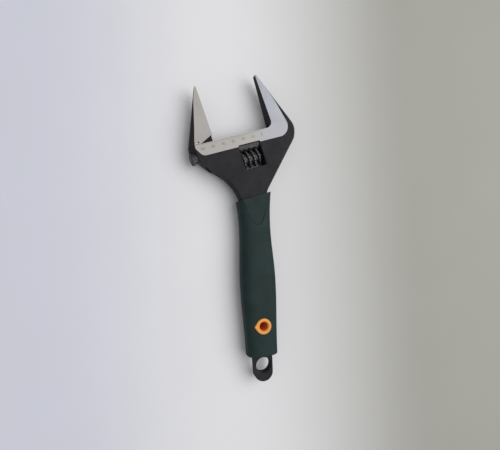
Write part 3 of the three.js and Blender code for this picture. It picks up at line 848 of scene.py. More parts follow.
def green_rubber():
    """Moulded rubber: fine pebbled skin, soft patches and rubbed lighter spots."""
    finish, tree, shader = new_finish("green_rubber")
    tones = settings().finish
    where = head_coordinates(tree)
    pebbles = add_node(tree, "ShaderNodeTexVoronoi", {"Vector": where, "Scale": 2200}).outputs["Distance"]
    skin = grain(tree, where, 1500, 3)
    both = add_node(tree, "ShaderNodeMath", {0: pebbles, 1: skin}, operation="ADD").outputs[0]
    patches = spread(tree, grain(tree, where, 70, 4, 0.6), 0.38, 0.68)
    feed(
        tree, shader,
        Base_Color=blend_colours(tree, patches, tones.rubber, tones.rubber_light),
        Roughness=spread(tree, skin, 0.3, 0.7, 0.55, 0.7),
        Normal=bump(tree, both, 0.3, RUBBER_BUMP),
        Specular_IOR_Level=0.2,
    )
    return finish


def orange_plastic():
    """Glossy orange plastic with a little cloudiness, and painted shade of a deeper, redder orange down the
    hole.
    """
    finish, tree, shader = new_finish("orange_plastic")
    tones = settings().finish
    eyelet = settings().eyelet
    where = head_coordinates(tree)
    height = add_node(tree, "ShaderNodeSeparateXYZ", {"Vector": where}).outputs["Z"]
    off_middle = add_node(tree, "ShaderNodeMath", {0: height}, operation="ABSOLUTE").outputs[0]
    top = eyelet.face_height
    # Painted shade: the plastic turns a deeper orange below the eyelet's face, down its funnel and hole.
    painted_hole_shade = spread(tree, off_middle, top - eyelet.flange_thickness * 2, top - eyelet.edge_rounding)
    toned = blend_colours(tree, painted_hole_shade, tones.orange_deep, tones.orange)
    cloudy = spread(tree, grain(tree, where, 350, 4), 0.35, 0.75, 0.0, 0.18)
    feed(
        tree, shader,
        Base_Color=blend_colours(tree, cloudy, toned, tones.orange_deep),
        Roughness=0.34,
        Normal=bump(tree, grain(tree, where, 900), 0.12, PLASTIC_BUMP),
        Subsurface_Weight=0.05,
    )
    return finish


def floor_finish():
    """Pale matt board with the faintest mottling, and painted shade that greys it towards both sides: bluish
    beyond the moving jaw, warm beyond the fixed jaw.
    """
    finish, tree, shader = new_finish("pale_floor")
    tones = settings().finish
    stage = settings().stage
    where = add_node(tree, "ShaderNodeTexCoord").outputs["Object"]
    aside = add_node(tree, "ShaderNodeSeparateXYZ", {"Vector": where}).outputs["Y"]
    # Painted shade on the floor: greyer towards both sides, standing in for the light falling off.
    shaded = spread(tree, aside, stage.shade_start, stage.shade_end, curve="SMOOTHSTEP")
    far = spread(tree, aside, stage.far_start, stage.far_end, curve="SMOOTHSTEP")
    near = blend_colours(tree, shaded, tones.floor, tones.floor_shaded)
    toned = blend_colours(tree, far, near, tones.floor_far)
    mottle = spread(tree, grain(tree, where, 12, 3), 0.3, 0.7, 0.0, 0.06)
    feed(
        tree, shader,
        Base_Color=blend_colours(tree, mottle, toned, tones.backdrop),
        Roughness=0.8,
        Specular_IOR_Level=0.2,
    )
    return finish


# Body

def forging_outline(end_inset, side_inset, growth, elbow_inset, back, tip):
    """Outline of the forging; the insets and the growth say how far it stands from the walls."""
    jaw = settings().jaw
    head = settings().head
    handle = settings().handle
    root = moving_root() + end_inset
    heel = moving_root() + side_inset
    side = handle.plate_half_width + growth
    neck = handle.neck_half_width + growth
    end = -handle.plate_end - growth
    elbow = root_width() + jaw.back_slope * head.elbow_drop - elbow_inset
    return outline_of([
        corner(0, jaw.reach),
        corner(0, 0, jaw.root_fillet),
        corner(root, 0),
        corner(root, -head.end_bevel_drop),
        corner(heel + head.heel_inset, -head.heel_drop, head.heel_radius),
        corner(heel + head.pin_flat_inset, -head.pin_flat_drop, head.pin_flat_radius),
        (handle_point(handle.neck_left_distance, -neck), handle.neck_left_radius),
        (handle_point(end, -side), side),
        (handle_point(end, side), side),
        (handle_point(handle.neck_distance, neck), handle.neck_right_radius),
        corner(elbow, -head.elbow_drop, head.elbow_radius),
        corner(back, head.back_slope_start),
        corner(tip, jaw.reach),
    ])


def wall_outline(growth=0.0):
    """Where the forging's side walls stand, with the handle's part widened by growth."""
    jaw = settings().jaw
    back = root_width() - jaw.back_slope * settings().head.back_slope_start
    return forging_outline(0, 0, growth, 0, back, jaw.tip_width)


def face_outline():
    """Where the slopes above the walls reach the head's flat faces."""
    head = settings().head
    tip = settings().jaw.tip_width / 2
    bevel = settings().handle.neck_bevel
    return forging_outline(head.end_face_inset, head.side_face_inset, -bevel, head.elbow_face_inset, tip, tip)


def face_height(y):
    """Half thickness of the ground faces at a distance above the throat."""
    jaw = settings().jaw
    head = settings().head
    full = head.thickness / 2
    if y < head.taper_top_drop:
        return full
    fall = (full - jaw.tip_thickness / 2) / (jaw.reach - head.taper_top_drop)
    return full - fall * (y - head.taper_top_drop)


def across_head(name, upper):
    """Solid that runs the whole width along X, from the upper half of its side view, drawn as (y, z)."""
    profile = upper + [Vector((point.x, -point.y)) for point in reversed(upper)]
    left = far_left() - far_right()
    right = far_right() + far_right()
    return loft(name, [[Vector((x, p.x, p.y)) for p in profile] for x in (left, right)])


def thickness_slab(growth=0.0, head_growth=0.0):
    """Slab whose thickness follows the forging: thin at the jaw tips, full at the head, thin at the eye."""
    jaw = settings().jaw
    head = settings().head
    handle = settings().handle
    over = settings().slide.overrun
    full = head.thickness / 2 + growth + head_growth
    shank = handle.thickness / 2 + growth
    plate = handle.plate_thickness / 2 + growth
    return across_head("slab", [
        Vector((jaw.reach + over, face_height(jaw.reach + over))),
        Vector((head.taper_top_drop, full)),
        Vector((-handle.taper_start, full)),
        Vector((-handle.taper_end, shank)),
        Vector((handle_point(handle.shank_end, 0).y, shank)),
        Vector((handle_point(handle.plate_start, 0).y, plate)),
        Vector((handle_point(-handle.plate_end, 0).y - over, plate)),
    ])


def pad_outline():
    """Ground pad along the throat and the jaws."""
    head = settings().head
    over = settings().slide.overrun
    top = settings().jaw.reach + over
    end = moving_root() + head.end_face_inset
    lean = head.pad_end_lean * (head.pad_width - head.end_bevel_drop)
    return outline_of([
        corner(far_left(), top),
        corner(far_left(), -head.end_bevel_drop),
        corner(end, -head.end_bevel_drop),
        corner(end + lean, -head.pad_width, head.pad_end),
        corner(head.pad_edge_setout + head.pad_edge_slope * head.pad_width, -head.pad_width, head.pad_corner),
        corner(head.pad_edge_setout - head.pad_edge_slope * top, top),
    ])


def raised_pads():
    """Everything up to the forged faces, and above them only the pads."""
    head = settings().head
    over = settings().slide.overrun
    top = settings().jaw.reach + over
    low = handle_point(-settings().handle.plate_end, 0).y - over
    forged = head.thickness / 2 - head.forged_recess
    core = across_head("core", [
        Vector((top, face_height(top) - head.forged_recess)),
        Vector((head.taper_top_drop, forged)),
        Vector((low, forged)),
    ])
    return combine(core, prism("pads", pad_outline(), -head.thickness, head.thickness), "UNION")


def window_cutter():
    """The worm's window with a small chamfer round both mouths."""
    worm = settings().worm
    head = settings().head
    forged = head.thickness / 2 - head.forged_recess
    tall = head.thickness
    edge = head.machined_edge

    def mouth(growth):
        right = window_right() + growth
        left = window_right() - worm.window_width - growth
        top = growth - worm.window_drop
        bottom = -worm.window_drop - worm.window_height - growth
        return rectangle(left, bottom, right, top, worm.window_corner + growth)

    upper = [(mouth(0), forged - edge), (mouth(edge), forged), (mouth(edge), tall)]
    lower = [(outline, -height) for outline, height in reversed(upper)]
    return stack("window", lower + upper)


def bore(name, radius, chamfer, half, place):
    """A round hole along Z with a chamfer at both faces, which lie half away from the middle."""
    tall = settings().head.thickness
    wide = radius + chamfer
    profile = [(-tall, wide), (-half, wide), (chamfer - half, radius)]
    upper = [(-z, r) for z, r in reversed(profile)]
    return turned_post(name, profile + upper, place)


def level_slab():
    """The forging's slab, a hair past the ground faces at the head, so that none coincide."""
    return thickness_slab(0, settings().head.forged_recess / 8)


def make_body():
    jaw = settings().jaw
    head = settings().head
    handle = settings().handle
    slide = settings().slide
    pin = settings().pin
    eyelet = settings().eyelet
    body = forged_solid("forged_body", wall_outline(), face_outline())
    combine(body, level_slab(), "INTERSECT")
    combine(body, raised_pads(), "INTERSECT")
    slot = slide.web_thickness / 2 + slide.gap
    reach = window_right() + pin.seat + slide.gap
    tube = eyelet.tube_radius + slide.gap
    bore_ends = (far_left(), far_right())
    pin_ends = (far_left(), reach)
    cut(
        body,
        window_cutter(),
        turned_bar("bore", [(x, slide.radius + slide.gap) for x in bore_ends], -slide.drop),
        block("slot", far_left(), -slide.drop, 0, jaw.root_fillet + slide.overrun, -slot, slot),
        turned_bar("pin_bore", [(x, pin.radius + slide.gap) for x in pin_ends], -settings().worm.drop),
        bore("eye", handle.eye_radius, handle.eye_chamfer, handle.plate_thickness / 2, handle_point(0, 0)),
        bore("tube", tube, handle.eye_chamfer, handle.thickness / 2, handle_point(eyelet.distance, 0)),
    )
    tidy_mesh(body)
    step = head.forged_recess / 2

    def choose(middle, normal):
        flat = abs(normal.z) > ALMOST_FLAT
        return 1 if flat and abs(middle.z) > face_height(middle.y) - step else 0

    dress(body, [black_steel(), ground_steel()], choose)
    place_piece(body, "frame", "black_steel", "body")
    smooth(body, STEEL_CREASE)


# Scale marks

def new_grower(name, inputs):
    """A tree of geometry nodes with its named inputs, and their sockets."""
    tree = bpy.data.node_groups.new(name, "GeometryNodeTree")
    tree.interface.new_socket(name="Geometry", in_out="OUTPUT", socket_type="NodeSocketGeometry")
    for label, kind in inputs.items():
        tree.interface.new_socket(name=label, in_out="INPUT", socket_type="NodeSocket" + kind)
    return tree, tree.nodes.new("NodeGroupInput").outputs


def finish_grower(tree, shape, finish):
    """Ends the tree in real geometry that wears the finish."""
    real = add_node(tree, "GeometryNodeRealizeInstances", {"Geometry": shape}).outputs["Geometry"]
    dressed = add_node(tree, "GeometryNodeSetMaterial", {"Geometry": real, "Material": finish})
    add_node(tree, "NodeGroupOutput", {"Geometry": dressed.outputs["Geometry"]})
    return tree


def tick_tree(ink):
    """Geometry nodes that lay thin bars at even steps along X."""
    tree, given = new_grower("scale_ticks", {
        "Count": "Int", "Start": "Vector", "Step": "Vector", "Bar size": "Vector",
    })
    line = add_node(tree, "GeometryNodeMeshLine", {
        "Count": given["Count"], "Start Location": given["Start"], "Offset": given["Step"],
    })
    bar = add_node(tree, "GeometryNodeMeshCube", {"Size": given["Bar size"]})
    laid = add_node(tree, "GeometryNodeInstanceOnPoints", {
        "Points": line.outputs["Mesh"], "Instance": bar.outputs["Mesh"],
    })
    return finish_grower(tree, laid.outputs["Instances"], ink)


def grown(name, tree, values):
    """A mesh piece made by a geometry node tree with the given input values."""
    piece = bpy.data.objects.new(name, bpy.data.meshes.new(name))
    bpy.context.scene.collection.objects.link(piece)
    grower = piece.modifiers.new(name, "NODES")
    grower.node_group = tree
    for item in tree.interface.items_tree:
        if item.item_type == "SOCKET" and item.in_out == "INPUT":
            grower[item.identifier] = values[item.name]
    return settle(piece)


def ticks(tree, name, step, bar_length):
    marks = settings().marks
    top = settings().head.thickness / 2 + marks.depth / 2
    span = marks.step * (marks.last_number // NUMBER_GROWTH)
    return grown(name, tree, {
        "Count": round(span / step) + 1,
        "Start": (-marks.zero_setback, -marks.edge_gap - bar_length / 2, top),
        "Step": (-step, 0.0, 0.0),
        "Bar size": (marks.tick_width, bar_length, marks.depth),
    })


def number(value, ink):
    """One plain number of the scale, lying on the pad."""
    marks = settings().marks
    text = bpy.data.curves.new("number", "FONT")
    text.body = str(value)
    text.size = marks.number_size
    text.align_x = "CENTER"
    text.align_y = "CENTER"
    text.extrude = marks.depth / 2
    writing = bpy.data.objects.new("number", text)
    bpy.context.scene.collection.objects.link(writing)
    graph = bpy.context.evaluated_depsgraph_get()
    mesh = bpy.data.meshes.new_from_object(writing.evaluated_get(graph))
    bpy.data.objects.remove(writing)
    mesh.materials.clear()
    mesh.materials.append(ink)
    left = marks.zero_setback + marks.step * value / NUMBER_GROWTH
    height = settings().head.thickness / 2 + marks.depth / 2
    mesh.transform(Matrix.Translation((-left, -marks.number_drop, height)))
    return mesh


def make_marks():
    marks = settings().marks
    ink = mark_ink()
    tree = tick_tree(ink)
    short = ticks(tree, "scale_ticks", marks.tick_step, marks.tick_length)
    long = ticks(tree, "long_ticks", marks.step, marks.long_tick_length)
    whole = bmesh.new()
    whole.from_mesh(short.data)
    whole.from_mesh(long.data)
    for value in range(0, marks.last_number + 1, NUMBER_GROWTH):
        mesh = number(value, ink)
        whole.from_mesh(mesh)
        bpy.data.meshes.remove(mesh)
    whole.to_mesh(short.data)
    whole.free()
    bpy.data.objects.remove(long)
    dress(short, [ink])
    short.name = "scale_marks"
    place_piece(short, "frame", "ground_steel")


# Movable jaw

def blade_outlines():
    jaw = settings().jaw
    foot = settings().slide.gap
    face = -jaw.opening
    root = moving_root()
    walls = outline_of([
        corner(face, jaw.reach),
        corner(face - jaw.tip_width, jaw.reach),
        corner(root, foot),
        corner(face - jaw.heel_run, foot),
        corner(face, jaw.face_foot),
    ])
    faces = outline_of([
        corner(face, jaw.reach),
        corner(face - jaw.tip_width / 2, jaw.reach),
        corner(root + settings().head.end_face_inset, foot),
        corner(face - jaw.heel_run, foot),
        corner(face, jaw.face_foot),
    ])
    return walls, faces


def web():
    """Flat web that joins the blade to the slide bar."""
    jaw = settings().jaw
    slide = settings().slide
    face = -jaw.opening
    root = moving_root()
    half = slide.web_thickness / 2
    outline = outline_of([
        corner(face, jaw.face_foot + slide.gap),
        corner(root + settings().head.end_face_inset, jaw.face_foot),
        corner(root, slide.gap),
        corner(root - slide.overhang, -slide.drop),
        corner(face, -slide.drop),
    ])
    return prism("web", outline, -half, half)


def slide_bar():
    slide = settings().slide
    start = moving_root() - slide.overhang
    end = start + slide.bar_length
    return chamfered_bar("slide", start, end, slide.radius, slide.chamfer, -slide.drop)


def rack_gap(middle):
    """Cutter for one gap between rack teeth, leaning with the worm's thread."""
    worm = settings().worm
    slide = settings().slide
    top = worm.radius + worm.rack_play - worm.drop
    half = worm.crest_width / 2 + worm.rack_play
    flank = (worm.base_width - worm.crest_width) / 2 / (worm.radius - worm.root_radius)
    depth = top + slide.drop + slide.radius + slide.gap
    wide = half + flank * depth
    foot = top - depth
    outline = [Vector((-half, top)), Vector((-wide, foot)), Vector((wide, foot)), Vector((half, top))]
    cutter = prism("gap", outline, -slide.radius, slide.radius)
    lean = worm.lead / (2 * pi * worm.radius)
    cutter.data.transform(Matrix(((1, 0, lean, middle), (0, 1, 0, 0), (0, 0, 1, 0), (0, 0, 0, 1))))
    return cutter


def rack_gaps():
    worm = settings().worm
    slide = settings().slide
    start = moving_root() - slide.overhang
    first = worm_start() + worm.ridge_setout
    before = ceil((first - start) / worm.lead)
    after = ceil((start + slide.bar_length - first) / worm.lead)
    return [rack_gap(first + index * worm.lead) for index in range(-before, after)]


def make_movable_jaw():
    jaw = settings().jaw
    slide = settings().slide
    head = settings().head
    worm = settings().worm
    piece = forged_solid("movable_jaw_piece", *blade_outlines())
    combine(piece, level_slab(), "INTERSECT")
    combine(piece, web(), "UNION")
    combine(piece, slide_bar(), "UNION")
    cut(piece, *rack_gaps())
    mark_place = Vector((-jaw.mark_setback, jaw.mark_height))
    cut(piece, turned_post("mark", [
        (head.thickness / 2 - jaw.mark_depth, jaw.mark_radius / 2),
        (head.thickness / 2, jaw.mark_radius),
        (head.thickness, jaw.mark_radius),
    ], mark_place))
    tidy_mesh(piece)
    tooth_tips = slide.radius - worm.rack_play

    def choose(middle, normal):
        near_mark = (Vector((middle.x, middle.y)) - mark_place).length < jaw.mark_radius * 2
        if abs(normal.z) > ALMOST_FLAT and abs(middle.z) > slide.radius / 2 and middle.y > slide.gap:
            return 0 if near_mark and abs(middle.z) < face_height(middle.y) - jaw.mark_depth / 2 else 1
        below = -slide.drop - middle.y
        outer = Vector((below, middle.z)).length > tooth_tips
        if outer and below > tooth_tips / 2 and abs(normal.x) < ALMOST_FLAT / 2:
            return 2
        return 3 if middle.y < -slide.drop + slide.radius else 0

    dress(piece, [black_steel(), ground_steel(), worn_steel(), machined_steel()], choose)
    place_piece(piece, "jaw", "ground_steel", "movable_jaw")
    smooth(piece, STEEL_CREASE)


# Worm, pin and spring

def thread_ridge():
    """Helical thread with notches across its crest; it follows the right-hand rule about +X."""
    worm = settings().worm
    steps = worm.notch_count * STEPS_PER_NOTCH
    before = ceil(worm.ridge_setout / worm.lead)
    turns = ceil(worm.worm_length / worm.lead) + before + 1
    foot = worm.root_radius - settings().slide.gap
    rounding = worm.crest_rounding
    rings = []
    for step in range(turns * steps + 1):
        turned = step / steps - before
        middle = worm_start() + worm.ridge_setout + turned * worm.lead
        phase = (step % STEPS_PER_NOTCH) / STEPS_PER_NOTCH
        nearness = max(0.0, 1 - abs(phase - 0.5) * 2 / worm.notch_share)
        crest = worm.radius - worm.notch_depth * nearness
        half = worm.crest_width / 2
        section = [
            (-worm.base_width / 2, foot),
            (-half, crest - rounding),
            (rounding - half, crest),
            (half - rounding, crest),
            (half, crest - rounding),
            (worm.base_width / 2, foot),
        ]
        angle = turned * 2 * pi
        rings.append([
            Vector((middle + offset, radius * cos(angle) - worm.drop, radius * sin(angle)))
            for offset, radius in section
        ])
    return loft("ridge", rings)


def make_worm():
    worm = settings().worm
    slide = settings().slide
    pin = settings().pin
    start = worm_start()
    end = worm_end()
    wide = worm.radius + slide.overrun
    bevel = worm.crest_width / 2
    low_end = start - slide.overrun
    high_end = end + slide.overrun
    pocket_start = end - pin.pocket_depth
    through = (low_end, high_end)
    piece = turned_bar("worm_piece", [(x, worm.root_radius) for x in through], -worm.drop)
    combine(piece, thread_ridge(), "UNION")
    limit = [
        (start, worm.radius - bevel),
        (start + bevel, worm.radius),
        (start + bevel, wide),
        (end - bevel, wide),
        (end - bevel, worm.radius),
        (end, worm.radius - bevel),
    ]
    combine(piece, turned_bar("limit", limit, -worm.drop), "INTERSECT")
    cut(
        piece,
        turned_bar("hole", [(x, pin.radius + slide.gap) for x in through], -worm.drop),
        turned_bar("pocket", [(x, pin.pocket_radius) for x in (pocket_start, high_end)], -worm.drop),
    )
    tidy_mesh(piece)
    dress(piece, [thread_steel()])
    place_piece(piece, "screw", "worm_steel", "worm")
    smooth(piece, STEEL_CREASE)


def pin_start():
    """Where the pin's slotted end lies, a little inside the head's slanted edge."""
    head = settings().head
    heel = Vector((moving_root() + head.heel_inset, -head.heel_drop))
    flat = Vector((moving_root() + head.pin_flat_inset, -head.pin_flat_drop))
    part = (-settings().worm.drop - heel.y) / (flat.y - heel.y)
    return heel.x + (flat.x - heel.x) * part + settings().pin.recess


def make_pin():
    pin = settings().pin
    drop = settings().worm.drop
    start = pin_start()
    end = window_right() + pin.seat
    piece = chamfered_bar("pin_piece", start, end, pin.radius, pin.chamfer, -drop)
    half = pin.slot_width / 2
    wide = pin.radius + pin.radius
    cut(piece, block("slot", start - half, -drop - half, start + pin.slot_depth, half - drop, -wide, wide))
    tidy_mesh(piece)
    dress(piece, [machined_steel("pin_steel")])
    place_piece(piece, "frame", "pin_steel", "worm_pin")
    smooth(piece, STEEL_CREASE)


def coil_tree(wire_finish):
    """Geometry nodes that wind a wire of round section into a coil."""
    tree, given = new_grower("spring_coil", {
        "Turns": "Float", "Coil radius": "Float", "Length": "Float", "Wire radius": "Float",
    })
    coil = add_node(tree, "GeometryNodeCurveSpiral", {
        "Resolution": COIL_STEPS, "Rotations": given["Turns"], "Start Radius": given["Coil radius"],
        "End Radius": given["Coil radius"], "Height": given["Length"],
    })
    section = add_node(tree, "GeometryNodeCurvePrimitiveCircle", {
        "Resolution": WIRE_SIDES, "Radius": given["Wire radius"],
    })
    wire = add_node(tree, "GeometryNodeCurveToMesh", {
        "Curve": coil.outputs["Curve"], "Profile Curve": section.outputs["Curve"], "Fill Caps": True,
    })
    return finish_grower(tree, wire.outputs["Mesh"], wire_finish)


def make_spring():
    pin = settings().pin
    slide = settings().slide
    start = worm_end() - pin.pocket_depth + slide.gap + pin.wire_radius
    end = window_right() - slide.gap - pin.wire_radius
    wire_finish = spring_steel()
    piece = grown("spring_piece", coil_tree(wire_finish), {
        "Turns": pin.coil_turns,
        "Coil radius": pin.coil_radius,
        "Length": end - start,
        "Wire radius": pin.wire_radius,
    })
    upright = Matrix.Rotation(pi / 2, 4, "Y")
    piece.data.transform(Matrix.Translation((start, -settings().worm.drop, 0)) @ upright)
    dress(piece, [wire_finish])
    place_piece(piece, "frame", "spring_steel", "worm_spring")
    smooth(piece, STEEL_CREASE)


# Grip

def ease(first, last, part):
    return first + (last - first) * (1 - cos(pi * part)) / 2


def swelling(along, size):
    """A size that swells from the end to the belly, draws in to the waist and flares to the mouth."""
    grip = settings().grip
    end, belly, waist, mouth = [getattr(grip, place + "_" + size) for place in GRIP_PLACES]
    if along < grip.belly:
        return ease(end, belly, (along - grip.start) / (grip.belly - grip.start))
    if along < grip.waist:
        return ease(belly, waist, (along - grip.belly) / (grip.waist - grip.belly))
    part = (along - grip.waist) / (grip.mouth - grip.waist)
    return waist + (mouth - waist) * part * part


def rim_distance(across):
    """Distance from the eye at which the sleeve's mouth is cut, which lies square to the head."""
    lean = settings().head.angle
    return settings().handle.eye_distance + (across * sin(lean) - settings().grip.rim_drop) / cos(lean)


def grip_ring(part, shrink, setback=0.0):
    """Rounded box section; part runs from 0 at the lower end to 1 at the slanted mouth."""
    grip = settings().grip
    power = 2 / grip.squareness
    ring = []
    for angle in circle(GRIP_SIDES):
        wide = abs(cos(angle)) ** power * (1 if cos(angle) > 0 else -1)
        tall = abs(sin(angle)) ** power * (1 if sin(angle) > 0 else -1)
        along = grip.start + setback + part * (rim_distance(0) - grip.start)
        for _ in range(SLANT_PASSES):
            across = (swelling(along, "half_width") - shrink) * wide - swelling(along, "sway")
            along = grip.start + part * (rim_distance(across) - grip.start) + setback
        place = handle_point(along, across)
        ring.append(Vector((place.x, place.y, (swelling(along, "half_height") - shrink) * tall)))
    return ring


def grip_hull():
    grip = settings().grip
    quarter = quarter_turn()
    rings = []
    for angle in quarter:
        rings.append(grip_ring(0, grip.end_rounding * (1 - sin(angle)), grip.end_rounding * (1 - cos(angle))))
    total = rim_distance(0) - grip.start
    first = grip.end_rounding / total
    last = 1 - grip.rim_rounding / total
    for index in range(1, GRIP_RINGS + 1):
        rings.append(grip_ring(first + (last - first) * index / GRIP_RINGS, 0))
    for angle in quarter[1:]:
        setback = -grip.rim_rounding * (1 - sin(angle))
        rings.append(grip_ring(1, grip.rim_rounding * (1 - cos(angle)), setback))
    return loft("grip_piece", rings)


def facet_outline(growth):
    """Arrow-shaped panel at the mouth: two straight edges that meet in a rounded tip."""
    grip = settings().grip
    half_angle = atan2(grip.facet_spread, 1)
    tip = grip.facet_tip - growth / sin(half_angle)
    over = grip.mouth + grip.mouth - grip.facet_tip
    half = grip.facet_spread * (over - tip)
    return outline_of([
        (handle_point(tip, 0), grip.facet_tip_radius + growth),
        (handle_point(over, half), 0),
        (handle_point(over, -half), 0),
    ])


def facet_cutter(side):
    """Cutter with a flat floor that sinks towards the mouth, and leaning walls."""
    grip = settings().grip
    handle = settings().handle
    lean = settings().head.angle
    tip_height = swelling(grip.facet_tip, "half_height") - grip.facet_tip_depth
    rim_height = swelling(handle.neck_distance, "half_height") - grip.facet_mouth_depth
    fall = (rim_height - tip_height) / (handle.neck_distance - grip.facet_tip)
    level = tip_height - fall * (grip.facet_tip - handle.eye_distance)
    origin = level + fall * handle.axis_setback * sin(lean)
    tall = settings().head.thickness / 2
    cutter = stack("facet", [(facet_outline(0), 0), (facet_outline(tall * grip.facet_draft), tall)])
    slant = Matrix((
        (1, 0, 0, 0),
        (0, 1, 0, 0),
        (side * fall * sin(lean), side * fall * cos(lean), side, side * origin),
        (0, 0, 0, 1),
    ))
    cutter.data.transform(slant)
    if side < 0:
        cutter.data.flip_normals()
    return cutter


def eyelet_radius_at(angle, growth):
    """Distance from the drop's middle to its edge, at an angle from its point."""
    eyelet = settings().eyelet
    meeting = acos(eyelet.radius / eyelet.point_reach)
    off_point = min(abs(angle), 2 * pi - abs(angle))
    softened = (off_point ** 2 + eyelet.point_rounding ** 2) ** 0.5
    if softened > meeting:
        return eyelet.radius + growth
    return (eyelet.radius + growth) / cos(meeting - softened)


def eyelet_ring(radius_at, height):
    """A ring round the eyelet's middle; its point lies towards the moving jaw's side."""
    distance = settings().eyelet.distance
    ring = []
    for angle in circle():
        radius = radius_at(angle)
        place = handle_point(distance + radius * sin(angle), -radius * cos(angle))
        ring.append(Vector((place.x, place.y, height)))
    return ring


def eyelet_pocket(side):
    eyelet = settings().eyelet
    gap = settings().slide.gap
    floor_height = eyelet.face_height - eyelet.flange_thickness - gap
    heights = sorted((side * floor_height, side * settings().head.thickness))
    return loft("pocket", [eyelet_ring(lambda angle: eyelet_radius_at(angle, gap), z) for z in heights])


def make_grip():
    eyelet = settings().eyelet
    head = settings().head
    gap = settings().slide.gap
    piece = grip_hull()
    cavity = prism("cavity", wall_outline(gap), -head.thickness / 2, head.thickness / 2)
    combine(cavity, thickness_slab(gap), "INTERSECT")
    tall = head.thickness
    tube = eyelet.tube_radius + gap
    cut(
        piece,
        cavity,
        facet_cutter(1),
        facet_cutter(-1),
        eyelet_pocket(1),
        eyelet_pocket(-1),
        turned_post("tube", [(-tall, tube), (tall, tube)], handle_point(eyelet.distance, 0)),
    )
    tidy_mesh(piece)
    dress(piece, [green_rubber()])
    place_piece(piece, "frame", "green_rubber", "grip")
    smooth(piece, RUBBER_CREASE)


# Eyelets

def eyelet_rings(side):
    """Rings from the foot of the tube's bore, over the rounded face, and down outside the tube."""
    eyelet = settings().eyelet
    top = eyelet.face_height
    under = top - eyelet.flange_thickness
    foot = settings().slide.gap / 2
    hole = eyelet.hole_radius
    rings = [(lambda angle: hole, foot)]
    quarter = quarter_turn()
    for bend in quarter:
        wide = hole + eyelet.mouth_width * (1 - cos(bend))
        rings.append((lambda angle, wide=wide: wide, top - eyelet.mouth_depth * (1 - sin(bend))))
    for bend in quarter:
        inset = -eyelet.edge_rounding * (1 - sin(bend))
        height = top - eyelet.edge_rounding * (1 - cos(bend))
        rings.append((lambda angle, inset=inset: eyelet_radius_at(angle, inset), height))
    rings.append((lambda angle: eyelet_radius_at(angle, 0), under))
    rings.append((lambda angle: eyelet.tube_radius, under))
    rings.append((lambda angle: eyelet.tube_radius, foot))
    return [eyelet_ring(radius_at, side * height) for radius_at, height in rings]


def make_eyelet(name, side, node):
    rings = eyelet_rings(side)
    points = [point for ring in rings for point in ring]
    piece = new_solid(name, points, side_faces(len(rings), len(rings[0]), looped=True))
    dress(piece, [orange_plastic()])
    place_piece(piece, "frame", "orange_plastic", node)
    smooth(piece, EYELET_CREASE)


# Stage

def make_floor():
    size = settings().stage.floor_size / 2
    mesh = bpy.data.meshes.new("floor")
    corners = [(-size, -size, 0), (size, -size, 0), (size, size, 0), (-size, size, 0)]
    mesh.from_pydata(corners, [], [tuple(range(len(corners)))])
    mesh.materials.append(floor_finish())
    board = bpy.data.objects.new("floor", mesh)
    bpy.context.scene.collection.objects.link(board)


def make_key_light():
    stage = settings().stage
    lamp = bpy.data.lights.new("key_light", "AREA")
    lamp.shape = "DISK"
    lamp.size = stage.key_size
    lamp.energy = stage.key_power
    light = bpy.data.objects.new("key_light", lamp)
    light.location = stage.key_place
    light.rotation_euler = (-Vector(stage.key_place)).to_track_quat("-Z", "Y").to_euler()
    bpy.context.scene.collection.objects.link(light)


def make_sky():
    """Even light all round; the camera and reflections see the pale backdrop."""
    stage = settings().stage
    tones = settings().finish
    sky = bpy.data.worlds.new("studio")
    sky.use_nodes = True
    tree = sky.node_tree
    tree.nodes.clear()
    rays = add_node(tree, "ShaderNodeLightPath").outputs
    seen = add_node(tree, "ShaderNodeMath", {
        0: rays["Is Camera Ray"], 1: rays["Is Glossy Ray"],
    }, operation="MAXIMUM").outputs[0]
    either = add_node(tree, "ShaderNodeMath", {
        0: seen, 1: rays["Is Transmission Ray"],
    }, operation="MAXIMUM").outputs[0]
    lighting = add_node(tree, "ShaderNodeBackground", {"Color": (1, 1, 1, 1), "Strength": stage.sky_level})
    backdrop = add_node(tree, "ShaderNodeBackground", {"Color": rgba(tones.backdrop), "Strength": 1})
    mix = add_node(tree, "ShaderNodeMixShader", {
        0: either, 1: lighting.outputs["Background"], 2: backdrop.outputs["Background"],
    })
    add_node(tree, "ShaderNodeOutputWorld", {"Surface": mix.outputs["Shader"]})
    bpy.context.scene.world = sky


def make_camera():
    stage = settings().stage
    lens = bpy.data.cameras.new("camera")
    lens.lens = stage.lens
    lens.shift_x, lens.shift_y = stage.lens_shift
    lens.clip_start = stage.clip_start
    camera = bpy.data.objects.new("camera", lens)
    camera.location = stage.camera_place
    camera.rotation_euler = stage.camera_turn
    bpy.context.scene.collection.objects.link(camera)
    bpy.context.scene.camera = camera


# Operators

class WRENCH_OT_body(bpy.types.Operator):
    """Make the forged body with its ground pads, window and bores"""
    bl_idname = "wrench.body"
    bl_label = "Body"

    def execute(self, context):
        make_body()
        return {"FINISHED"}


class WRENCH_OT_marks(bpy.types.Operator):
    """Make the numbers and ticks of the scale"""
    bl_idname = "wrench.marks"
    bl_label = "Scale Marks"

    def execute(self, context):
        make_marks()
        return {"FINISHED"}


class WRENCH_OT_movable_jaw(bpy.types.Operator):
    """Make the movable jaw with its web, slide bar and rack"""
    bl_idname = "wrench.movable_jaw"
    bl_label = "Movable Jaw"

    def execute(self, context):
        make_movable_jaw()
        return {"FINISHED"}


class WRENCH_OT_worm(bpy.types.Operator):
    """Make the worm, its pin and its spring"""
    bl_idname = "wrench.worm"
    bl_label = "Worm, Pin and Spring"

    def execute(self, context):
        make_worm()
        make_pin()
        make_spring()
        return {"FINISHED"}


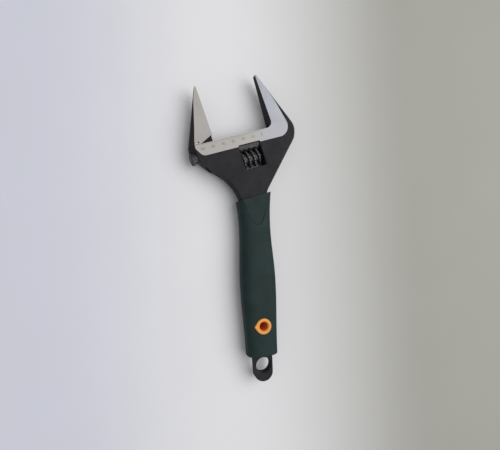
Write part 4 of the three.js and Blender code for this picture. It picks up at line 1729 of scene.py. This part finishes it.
class WRENCH_OT_grip(bpy.types.Operator):
    """Make the rubber sleeve on the shank"""
    bl_idname = "wrench.grip"
    bl_label = "Grip"

    def execute(self, context):
        make_grip()
        return {"FINISHED"}


class WRENCH_OT_eyelets(bpy.types.Operator):
    """Make the two drop-shaped eyelets"""
    bl_idname = "wrench.eyelets"
    bl_label = "Eyelets"

    def execute(self, context):
        make_eyelet("front_eyelet", 1, "eyelet_front")
        make_eyelet("back_eyelet", -1, "eyelet_back")
        return {"FINISHED"}


class WRENCH_OT_stage(bpy.types.Operator):
    """Make the floor, the lights and the camera"""
    bl_idname = "wrench.stage"
    bl_label = "Stage"

    def execute(self, context):
        make_floor()
        make_key_light()
        make_sky()
        make_camera()
        context.scene.view_settings.view_transform = "Standard"
        return {"FINISHED"}


class WRENCH_PT_parts(bpy.types.Panel):
    """Lists the wrench's pieces"""
    bl_label = "Adjustable Wrench"
    bl_idname = "WRENCH_PT_parts"
    bl_space_type = "VIEW_3D"
    bl_region_type = "UI"
    bl_category = "Wrench"

    def draw(self, context):
        for operator in OPERATORS:
            self.layout.operator(operator.bl_idname)


OPERATORS = (
    WRENCH_OT_stage,
    WRENCH_OT_body,
    WRENCH_OT_marks,
    WRENCH_OT_movable_jaw,
    WRENCH_OT_worm,
    WRENCH_OT_grip,
    WRENCH_OT_eyelets,
)

CLASSES = (
    JawSizes,
    HeadSizes,
    HandleSizes,
    SlideSizes,
    WormSizes,
    PinSizes,
    GripSizes,
    EyeletSizes,
    MarkSizes,
    Finishes,
    StageSizes,
    WrenchSettings,
    *OPERATORS,
    WRENCH_PT_parts,
)


def register():
    for kind in CLASSES:
        bpy.utils.register_class(kind)
    bpy.types.Scene.wrench = bpy.props.PointerProperty(type=WrenchSettings)


def unregister():
    del bpy.types.Scene.wrench
    for kind in reversed(CLASSES):
        bpy.utils.unregister_class(kind)


def main():
    register()
    for operator in OPERATORS:
        family, name = operator.bl_idname.split(".")
        getattr(getattr(bpy.ops, family), name)()


if __name__ == "__main__":
    main()
